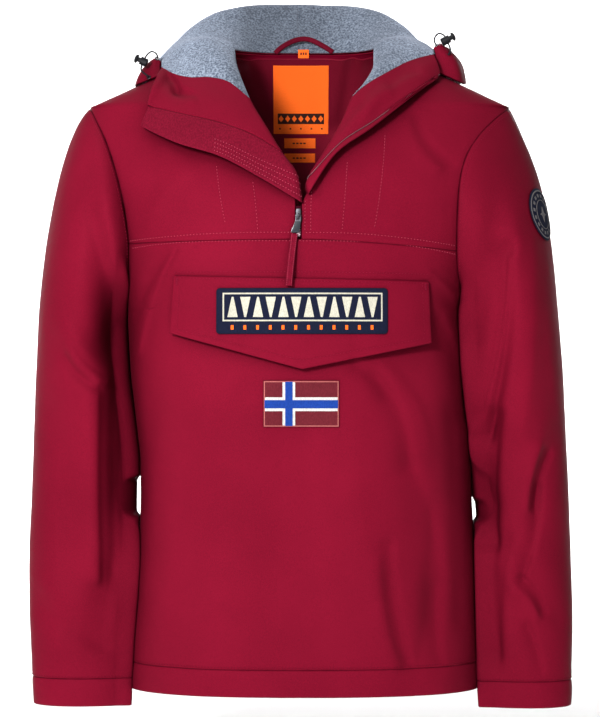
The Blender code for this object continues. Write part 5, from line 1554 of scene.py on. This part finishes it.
back_lining = shell(
    "back_lining_cloth", back_lining_grid(), 1.3 * MM, (LINING,), edges=ALL_SIDES,
    relief=lambda grid, near: fold_height("lining", grid[..., 0], grid[..., 2]),
)
INSIDE_NECK = (0, -0.06, 0)  # from where the labels are seen landing on the lining
on_lining = lander(tree_of(back_lining), start=INSIDE_NECK)
LABELS = {
    # left, right, top, bottom
    "neck_label": (-33.5, 31, -13, -90),
    "info_label_upper": (-21, 16, -95, -106.5),
    "info_label_lower": (-21, 15.5, -112.5, -123),
}
on_label = {}
for name, sides in LABELS.items():
    grid = landed(on_lining, rectangle(*sides, 4), 1.4)
    made = shell(f"{name}_cloth", grid, LABEL_THICK, (ORANGE,), edges=ALL_SIDES, rough=0.5)
    on_label[name] = lander(tree_of(made), start=INSIDE_NECK)
band = [box_quad(-28.5, 26.0, -66.5, -78.5)]
tiles("neck_label_band", band, on_label["neck_label"], -0.05, 0.2, PRINT)
lozenges = [
    ((x - 3.0, -72.5), (x, -76.3), (x + 3.0, -72.5), (x, -68.7)) for x in np.linspace(-24.6, 22.1, 7)
]
tiles("neck_label_lozenges", lozenges, on_label["neck_label"], 0.1, 0.2, ORANGE)
dots = [box_quad(x - 0.9, x + 0.9, -82.9, -84.7) for x in np.linspace(-26, 23.5, 5)]
tiles("neck_label_dots", dots, on_label["neck_label"], -0.05, 0.2, PRINT)
for name, z in (("info_label_upper", -100.7), ("info_label_lower", -117.8)):
    dashes = [box_quad(x - 1.4, x + 1.4, z + 0.8, z - 0.8) for x in (-9.6, -5.4, -1.2, 3.0)]
    tiles(f"{name}_dashes", dashes, on_label[name], -0.05, 0.2, PRINT)


def ribbon(name, path, width, thick, look, count, body=BODY):
    """A flat band along a smooth path, facing the front."""
    line = through(metres(path), np.linspace(0, 1, count))
    along = unit(np.gradient(line, axis=0))
    across = unit(np.cross((0.0, -1.0, 0.0), along))
    face = np.cross(along, across)
    share = np.linspace(-1, 1, 7)
    grid = np.array([line + across * (width / 2 * s) + face * thick * 0.5 * (1.6 - s**4) for s in share])
    if (normals_of(grid) * face).sum() < 0:
        grid = grid[::-1]
    return shell(f"{name}_cloth", grid, thick * 0.9, (look,), rough=0.1, body=body)


loop_path = ((-31, 70, 1), (-23, 70.3, 8.5), (-6, 72.5, 17), (8, 72.5, 17.5), (24, 70, 10), (36, 68.8, 2))
ribbon("hanger_loop", loop_path, 6 * MM, 1.2 * MM, LOOP, 50)
SIZE_LABEL_Y = 70.9
tab_rows = np.array([
    [(x, SIZE_LABEL_Y, z) for x in np.linspace(-4.5, 8, 9)] for z in np.linspace(-4.5, 5.5, 8)
]) * MM
shell("size_label_cloth", tab_rows, LABEL_THICK, (ORANGE,), edges=ALL_SIDES, rough=0.1)
tab_marks = [box_quad(x - 0.9, x + 0.9, 2.2, -0.8) for x in (-1.0, 1.8, 4.6)]


def on_tab(a, b, lift):
    """A place on the flat face of the size label."""
    return np.array((a, SIZE_LABEL_Y * MM - lift, b))


tiles("size_label_marks", tab_marks, on_tab, -0.05, 0.15, PRINT)

# ---------------------------------------------------------------- zip


LATHE_SIDES = 28


def lathe(name, profile, start, axis, look, body):
    """A solid of revolution; profile rows are distance along the axis and radius in mm."""
    sides = LATHE_SIDES
    start, axis = np.array(start, float) * MM, unit(np.array(axis, float))
    first = unit(np.cross(axis, (0, 1, 0)))
    second = np.cross(axis, first)
    turn = 2 * math.pi * np.arange(sides) / sides
    ways = np.cos(turn)[:, None] * first + np.sin(turn)[:, None] * second
    points = np.concatenate([start + axis * along * MM + ways * radius * MM for along, radius in profile])
    rings = len(profile)
    faces = grid_cells(rings, sides, True)[:, ::-1].tolist()
    faces += [tuple(range(sides)), tuple(range(rings * sides - 1, (rings - 1) * sides - 1, -1))]
    return add_mesh(name, points, faces, (look,), body)


def solid(name, outline, y_front, y_back, look, bevel, body=BODY, hole=None):
    """A plate in the x, z plane with rounded edges, from an outline in mm, with an optional hole."""
    size = len(outline)
    lines = [outline] if hole is None else [outline, hole]
    points = [(x * MM, y * MM, z * MM) for line in lines for y in (y_front, y_back) for x, z in line]
    faces = [] if hole is not None else [tuple(range(size)), tuple(range(2 * size - 1, size - 1, -1))]
    for i in range(size):
        j = (i + 1) % size
        faces.append((j, i, i + size, j + size))
        if hole is not None:
            faces.append((i, j, 2 * size + j, 2 * size + i))
            faces.append((size + j, size + i, 3 * size + i, 3 * size + j))
            faces.append((2 * size + i, 2 * size + j, 3 * size + j, 3 * size + i))
    mesh = bpy.data.meshes.new(name)
    mesh.from_pydata(points, [], faces)
    made = add_object(name, mesh)
    rounding = made.modifiers.new("rounding", "BEVEL")
    rounding.width = bevel
    rounding.segments = 3
    rounding.limit_method = "ANGLE"
    graph = bpy.context.evaluated_depsgraph_get()
    made.data = bpy.data.meshes.new_from_object(made.evaluated_get(graph))
    made.modifiers.clear()
    made.data.polygons.foreach_set("use_smooth", [True] * len(made.data.polygons))
    materials_of(made, look)
    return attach(made, body)


zip_x = (ZIP_EDGE["left"] + ZIP_EDGE["right"]) / 2
zip_face = float(body_y(zip_x * MM, -197 * MM)) / MM
HINGE = (zip_x, zip_face - 4.7, -199.4)


def closed_zip():
    """Tape and teeth between the yokes, below the slider."""
    x, z = np.meshgrid(np.linspace(-7.0, -1.0, 7) * MM, np.linspace(-222.0, -188.5, 24) * MM)
    grid = np.stack([x, body_y(x, z) + 1.3 * MM, z], axis=2)
    tape = shell("zip_closed_cloth", grid, 1.2 * MM, (TAPE,), rough=0.1)
    on_tape = lander(tree_of(tape))
    teeth = []
    for k, z in enumerate(np.arange(-221.2, -204.5, 1.25)):
        shift = 0.35 if k % 2 else -0.35
        teeth.append(box_quad(zip_x - 1.7 + shift, zip_x + 1.7 + shift, z + 0.42, z - 0.42))
    tiles("zip_teeth_closed", teeth, on_tape, -0.1, 0.9, TEETH, step=1.6)


closed_zip()


def evenly(outline, count):
    """Points evenly spaced round a closed outline, which rounds its corners a little."""
    line = np.array(list(outline) + [outline[0]], float)
    return resample(line, np.linspace(0, 1, count + 1)[:-1])


def slider():
    """One plate for the slider, and the bail that holds the pull tab."""
    foot, top = -203.5, -191.5
    outline = [(zip_x - 2.2, foot), (zip_x + 2.2, foot), (zip_x + 3.0, top - 3), (zip_x + 2.2, top)]
    outline += [(zip_x - 2.2, top), (zip_x - 3.0, top - 3)]
    plate = solid("slider_plate", evenly(outline, 40), zip_face - 3.4, zip_face - 0.5, METAL, 0.5 * MM)
    section = ((1.6, 2.2), (-0.6, 2.5), (-2.1, 1.4), (-2.3, -0.4), (-2.1, -2.2), (-0.6, -3.0), (1.6, -2.8))
    rod("slider_bail", [(zip_x, HINGE[1] + y, HINGE[2] + z) for y, z in section], 0.6, METAL)
    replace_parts(plate, "slider")


def rod(name, path, radius, look, closed=False, count=40):
    """A round bar of one thickness along a smooth path in mm."""
    path = metres(path)
    line = through(path + path[:1] if closed else path, np.linspace(0, 1, count))
    curve = bpy.data.curves.new(name, "CURVE")
    curve.dimensions = "3D"
    curve.bevel_depth = radius * MM
    curve.bevel_resolution = 3
    curve.use_fill_caps = not closed
    strand = curve.splines.new("POLY")
    line = line[:-1] if closed else line
    strand.points.add(len(line) - 1)
    strand.use_cyclic_u = closed
    for point, place in zip(strand.points, line):
        point.co = (*place, 1)
    curve.materials.append(look)
    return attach(add_object(name, curve), BODY)


def pull_tab():
    """A gunmetal tab with a dark field and the window that the bail runs through."""
    hx, hy, hz = HINGE
    outline = [(hx - 3.0, hz + 0.6), (hx - 3.4, hz - 5.5), (-12.4, -217.7)]
    outline += [(-3.5, -217.7), (hx + 2.9, hz - 5.5), (hx + 3.0, hz + 0.6)]
    window = [(hx - 1.6, hz - 0.6), (hx - 1.6, hz - 4.4), (hx - 1.0, hz - 4.4)]
    window += [(hx + 1.0, hz - 4.4), (hx + 1.6, hz - 4.4), (hx + 1.6, hz - 0.6)]
    made = solid(
        "pull_tab_metal", evenly(outline, 48), hy - 0.6, hy + 0.6, METAL, 0.3 * MM, "zip_pull",
        evenly(window, 48),
    )
    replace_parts(made, "pull_tab")
    field = [(-7.7, -205.6), (-9.9, -212.4), (-11.6, -217.1), (-4.4, -217.1), (-2.1, -212.4), (-1.6, -205.6)]
    solid("pull_tab_field", evenly(field, 40), hy - 0.85, hy - 0.5, SLATE, 0.12 * MM, "zip_pull")


slider()
pull_tab()
strap_path = (
    (-8.3, HINGE[1] - 0.2, -218.9), (-10.6, HINGE[1] - 3.8, -238),
    (-13.2, -146.2, -262), (-14.4, -147.6, -276.2),
)
ribbon("pull_strap", strap_path, 7.6 * MM, 1.0 * MM, RED_BAND, 40, body="zip_pull")

# ---------------------------------------------------------------- drawcords, their locks and eyelets

CORD_RADIUS = 1.0
LOCKS = {
    # middle of the push button's head and end of the barrel
    "left": ((-187.4, -19.5, -15.3), (-175.2, -19.5, -20.6)),
    "right": ((172.4, 3, 12.4), (159.3, 3, 5.4)),
}
# each cord's route in mm: where it leaves the channel, before and after its lock, and where it goes back
CORDS = {
    "left": {
        "start": (-164.5, -6, -13), "before": ((-166, -14.5, -8.5), (-171, -18.5, -7.3)),
        "after": ((-181.8, -21, -29),), "end": (-173.5, -22, -37),
    },
    "right": {
        "start": (153, -3, 2), "before": ((150.8, -1.5, 7.5), (152.6, 1, 13), (156.7, 3, 16)),
        "after": ((169.2, 0.5, -2.5),), "end": (166, -9, -10),
    },
}


def rooted(side, place):
    """Where a cord leaves the channel near a place in mm, from just off the surface straight out."""
    tree = tree_of(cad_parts[f"channel_{side}"])
    at, way = tree.find_nearest(Vector([c * MM for c in place]))[:2]
    at, way = np.array(at) / MM, np.array(way)
    return [at + way * k for k in (0.35, 1.8, 3.3)], at, way


def eyelet(name, middle, way):
    """A small round ring on the channel, where the cord comes out."""
    first = unit(np.cross(way, (0, 0, 1)))
    second = np.cross(way, first)
    turns = np.linspace(0, 2 * math.pi, 13)[:-1]
    ring = [middle + way * 0.5 + 2.1 * (math.cos(t) * first + math.sin(t) * second) for t in turns]
    rod(name, ring, 0.62, METAL, closed=True)


def drawcord(side):
    """One cord from eyelet to eyelet through its lock."""
    route = CORDS[side]
    head, end = (np.array(p, float) for p in LOCKS[side])
    axis = unit(end - head)
    across = np.cross(axis, (0, 1, 0))
    across = across if across[2] > 0 else -across
    inside = [head + axis * 8.6 + across * k for k in (6.5, 2, -2, -6.5)]
    first, first_middle, first_way = rooted(side, route["start"])
    last, last_middle, last_way = rooted(side, route["end"])
    path = [*first, *route["before"], *inside, *route["after"], *last[::-1]]
    made = rod(f"cord_{side}_thread", path, CORD_RADIUS, CORD, count=48)
    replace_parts(made, f"cord_{side}")
    line = through(metres(path), np.linspace(0, 1, 48))
    length = float(run_of(line)[-1])
    eyelet(f"eyelet_{side}_first", first_middle, first_way)
    eyelet(f"eyelet_{side}_second", last_middle, last_way)


def cord_lock(side):
    """The moulded lock stays the frame's own solid, with rings round its barrel and a ridge on its button."""
    head, end = (np.array(p, float) for p in LOCKS[side])
    axis = unit(end - head)
    length = np.linalg.norm(end - head)
    for node in (f"lock_barrel_{side}", f"lock_plunger_{side}"):
        materials_of(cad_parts[node], BLACK)
    for name, at, radius, body in (
        ("rim", 5.1, 4.65, BODY), ("foot", length - 1.2, 4.5, BODY), ("ridge", 0.4, 5.1, f"button_{side}")
    ):
        low, high = radius - 0.2, radius + 0.25
        profile = ((-0.45, low), (-0.25, high), (0.25, high), (0.45, low))
        lathe(f"lock_{name}_{side}", profile, head + axis * at, axis, BLACK, body)


for side in ("left", "right"):
    drawcord(side)
    cord_lock(side)

# ---------------------------------------------------------------- stitching and zip teeth


SUNK = 0.12 * MM  # how deep a stitch starts in the cloth
CROWN = {"in": 0.14, "half": 0.32}  # the top of a stitch: how far in from its ends, and half its width
BOX_FACES = ((3, 2, 1, 0), (4, 5, 6, 7), (0, 1, 5, 4), (1, 2, 6, 5), (2, 3, 7, 6), (3, 0, 4, 7))


def stitches(name, lines, look=THREAD, pitch=3.7, length=1.2, thick=0.7, height=0.5, body=BODY):
    """Small raised stitches along lines, given as points and the surface's normals there; sizes in mm."""
    length, thick, height = length * MM, thick * MM, height * MM
    corners = []
    for line, ways in lines:
        run = run_of(line)
        count = max(int(run[-1] / (pitch * MM)), 1)
        middle = (np.arange(count) + 0.5) * run[-1] / count
        low, high = (points_along(line, run, middle + s * length / 2) for s in (-1, 1))
        up = unit(points_along(ways, run, middle))
        along = unit(high - low)
        across = np.cross(up, along)
        into = along * length * CROWN["in"]
        ends = ((low, into, -1), (low, into, 1), (high, -into, 1), (high, -into, -1))
        base = [end + across * s * thick / 2 - up * SUNK for end, _, s in ends]
        crown = [end + inward + across * s * thick * CROWN["half"] + up * height for end, inward, s in ends]
        corners.append(np.stack(base + crown, axis=1))
    corners = np.concatenate(corners)
    faces = (np.arange(len(corners))[:, None, None] * 8 + np.array(BOX_FACES)[None]).reshape(-1, 4)
    return add_mesh(name, corners.reshape(-1, 3), faces, (look,), body, smooth_faces=False)


def beside(node, side, inset, clear=(), closed=False, end=1.0):
    """The line of a shell's points that runs inset mm inside one side of its grid, with the normals there.

    Points nearer than inset to the sides named in clear are left out, and so are those past the share end.
    """
    form = forms[node]
    normal, near = normals_of(form, closed), distances(form, closed)
    along_rows = side in ("foot", "top")
    away = near[side].mean(axis=1 if along_rows else 0)
    k = int(np.argmin(np.abs(away / MM - inset)))
    pick = (lambda a: a[k]) if along_rows else (lambda a: a[:, k])
    line, ways = pick(form), pick(normal)
    keep = np.ones(len(line), bool)
    for other in clear:
        keep &= pick(near[other]) > inset * MM * 0.95
    keep &= np.linspace(0, 1, len(line)) <= end
    line, ways = line[keep], ways[keep]
    if closed and keep.all():
        line, ways = np.concatenate([line, line[:1]]), np.concatenate([ways, ways[:1]])
    return line, ways


def seen(tree, points, step=4.0):
    """A line on a surface through points x, z in mm, seen from the front, with the normals there."""
    way = np.array((0.0, 1.0, 0.0))
    flat = np.array(points, float)
    run = run_of(flat)
    at = np.linspace(0, run[-1], max(int(run[-1] / step), 2))
    flat = spline(flat, np.interp(at, run, range(len(run)))) * MM
    hits = [land(tree, np.array((x, 0, z)) - way, way) for x, z in flat]
    hits = [hit for hit in hits if hit[0] is not None]
    return np.array([point for point, _ in hits]), np.array([normal for _, normal in hits])


SEAM_INSET = 2.6  # usual distance of a row of stitches from its seam
surfaces = {"yoke_left": tree_of(yoke_left), "yoke_right": tree_of(yoke_right), "lower": tree_of(front_lower)}
stitches("yoke_stitches", [seen(surfaces[surface], points) for surface, points in STITCHES])
stitches("flap_stitches", [
    beside("pocket_flap", "foot", FLAP_HEM, ("start", "end")),
    beside("pocket_flap", "start", FLAP_HEM, ("foot",)),
    beside("pocket_flap", "end", FLAP_HEM, ("foot",)),
    beside("pocket_flap", "top", SEAM_INSET),
    seen(surfaces["lower"], ((-141, -260.5), (0, -260.8), (139, -262.5))),
], look=DARK_THREAD)
TACKS = ((-137, -265.5), (135.5, -271.0))  # upper corners of the flap
tack_rows = [seen(tree_of(flap), ((x, z - 1.5), (x, z - 9)), step=1.0) for x, z in TACKS]
stitches("flap_tacks", tack_rows, look=DARK_THREAD, pitch=0.8, length=0.6, thick=2.6, height=0.5)
placket_rows = [beside("placket", "start", inset, end=0.5) for inset in (5, 9.5, 14, 18.5)]
stitches("placket_stitches", placket_rows, pitch=3.3)
stitches("facing_stitches", [
    beside("facing_left", "start", SEAM_INSET), beside("placket", "end", SEAM_INSET),
    beside("facing_right", "end", 6), beside("facing_left", "end", SEAM_INSET),
], look=DARK_THREAD)
armhole_rows = [beside(f"sleeve_{side}", "top", 4.2, closed=True) for side in ("left", "right")]
stitches("armhole_stitches", armhole_rows, look=DARK_THREAD)
cuff_rows = [beside(f"sleeve_{side}", "foot", SEAM_INSET, closed=True) for side in ("left", "right")]
stitches("cuff_stitches", cuff_rows, look=RED)
hood_rows = [beside("hood_lining_left", "end", SEAM_INSET), beside("hood_lining_right", "start", SEAM_INSET)]
hem_rows = [beside(node, "foot", SEAM_INSET) for node in ("front_lower", "back")]
stitches("hem_stitches", hem_rows, look=RED)
stitches("hood_stitches", hood_rows, look=FLEECE)
stitches("lining_stitches", [beside("back_lining", "top", SEAM_INSET)], look=LOOP)
label_rows = [beside(name, side, 1.5) for name in LABELS for side in ALL_SIDES]
stitches("label_stitches", label_rows, look=ORANGE, pitch=2.2, length=1.4, height=0.2)
patch_rows = [beside("name_patch", side, 1.5) for side in ALL_SIDES]
stitches("patch_stitches", patch_rows, look=NAVY, pitch=1.6, length=1.4, height=0.25)
strap_rows = [beside("pull_strap", side, 1.2) for side in ("foot", "top")]
stitches("strap_stitches", strap_rows, pitch=2.2, length=1.3, thick=0.45, height=0.2, body="zip_pull")

# zip teeth along the turned-out right front, and a dark strip beside them: partly the tape, partly painted
# shade
open_teeth, groove = beside("facing_right", "end", 0.7), beside("zip_tape", "start", 0.7)
stitches("zip_teeth_open", [open_teeth], look=TEETH, pitch=1.4, length=0.9, thick=0.8, height=0.6)
stitches("zip_teeth_shade_strip", [groove], look=TAPE, pitch=3, length=3.2, thick=1.7, height=0.3)

# ---------------------------------------------------------------- floor, light and camera


def area_light(name, place, aim, size, energy):
    """A white rectangular light at a place, turned to another."""
    light = bpy.data.lights.new(name, "AREA")
    light.shape = "RECTANGLE"
    light.size, light.size_y = size
    light.energy = energy
    made = add_object(name, light)
    made.location = place
    made.rotation_euler = (Vector(aim) - Vector(place)).to_track_quat("-Z", "Y").to_euler()


def backdrop():
    """A pale floor that rises in one smooth bend behind the garment."""
    floor, wall, bend, half = -0.84, 5.2, 1.4, 5.0
    turns = np.linspace(0.1, math.pi / 2, 14)
    line = [(-5.0, floor), (wall - bend, floor)]
    line += [(wall - bend + bend * math.sin(a), floor + bend - bend * math.cos(a)) for a in turns]
    line += [(wall, 4.0)]
    points = [(x, y, z) for y, z in line for x in (-half, half)]
    faces = [(2 * i, 2 * i + 1, 2 * i + 3, 2 * i + 2) for i in range(len(line) - 1)]
    mesh = bpy.data.meshes.new("backdrop")
    mesh.from_pydata(points, [], faces)
    mesh.polygons.foreach_set("use_smooth", [True] * len(faces))
    made = add_object("backdrop", mesh)
    look, nodes, _ = node_tree("pale_floor")
    nodes["Principled BSDF"].inputs["Base Color"].default_value = (0.93, 0.93, 0.93, 1)
    nodes["Principled BSDF"].inputs["Roughness"].default_value = 0.9
    mesh.materials.append(look)


backdrop()
world = bpy.data.worlds.new("studio")
bpy.context.scene.world = world
world.use_nodes = True
world.node_tree.nodes["Background"].inputs["Color"].default_value = (1, 1, 1, 1)
world.node_tree.nodes["Background"].inputs["Strength"].default_value = 0.23
MIDDLE = (0, 0, -0.38)
area_light("key", (-1.05, -2.75, 0.55), MIDDLE, (0.5, 0.5), 132)
area_light("front", (-0.2, -3.3, -0.1), MIDDLE, (0.7, 0.7), 14)
area_light("top", (-0.3, 0.3, 1.9), MIDDLE, (1.6, 1.2), 10)
area_light("back", (0.0, 2.4, 2.0), (0, 4.4, -0.4), (4.0, 1.2), 260)

CAMERA = {"place": (-0.0023, -3.0, -0.355), "lens": 132.1}
camera = add_object("camera", bpy.data.cameras.new("camera"))
camera.data.lens = CAMERA["lens"]
camera.data.sensor_width = 36
camera.location = CAMERA["place"]
camera.rotation_euler = (math.pi / 2, 0, 0)
bpy.context.scene.camera = camera
bpy.context.scene.view_settings.view_transform = "Standard"
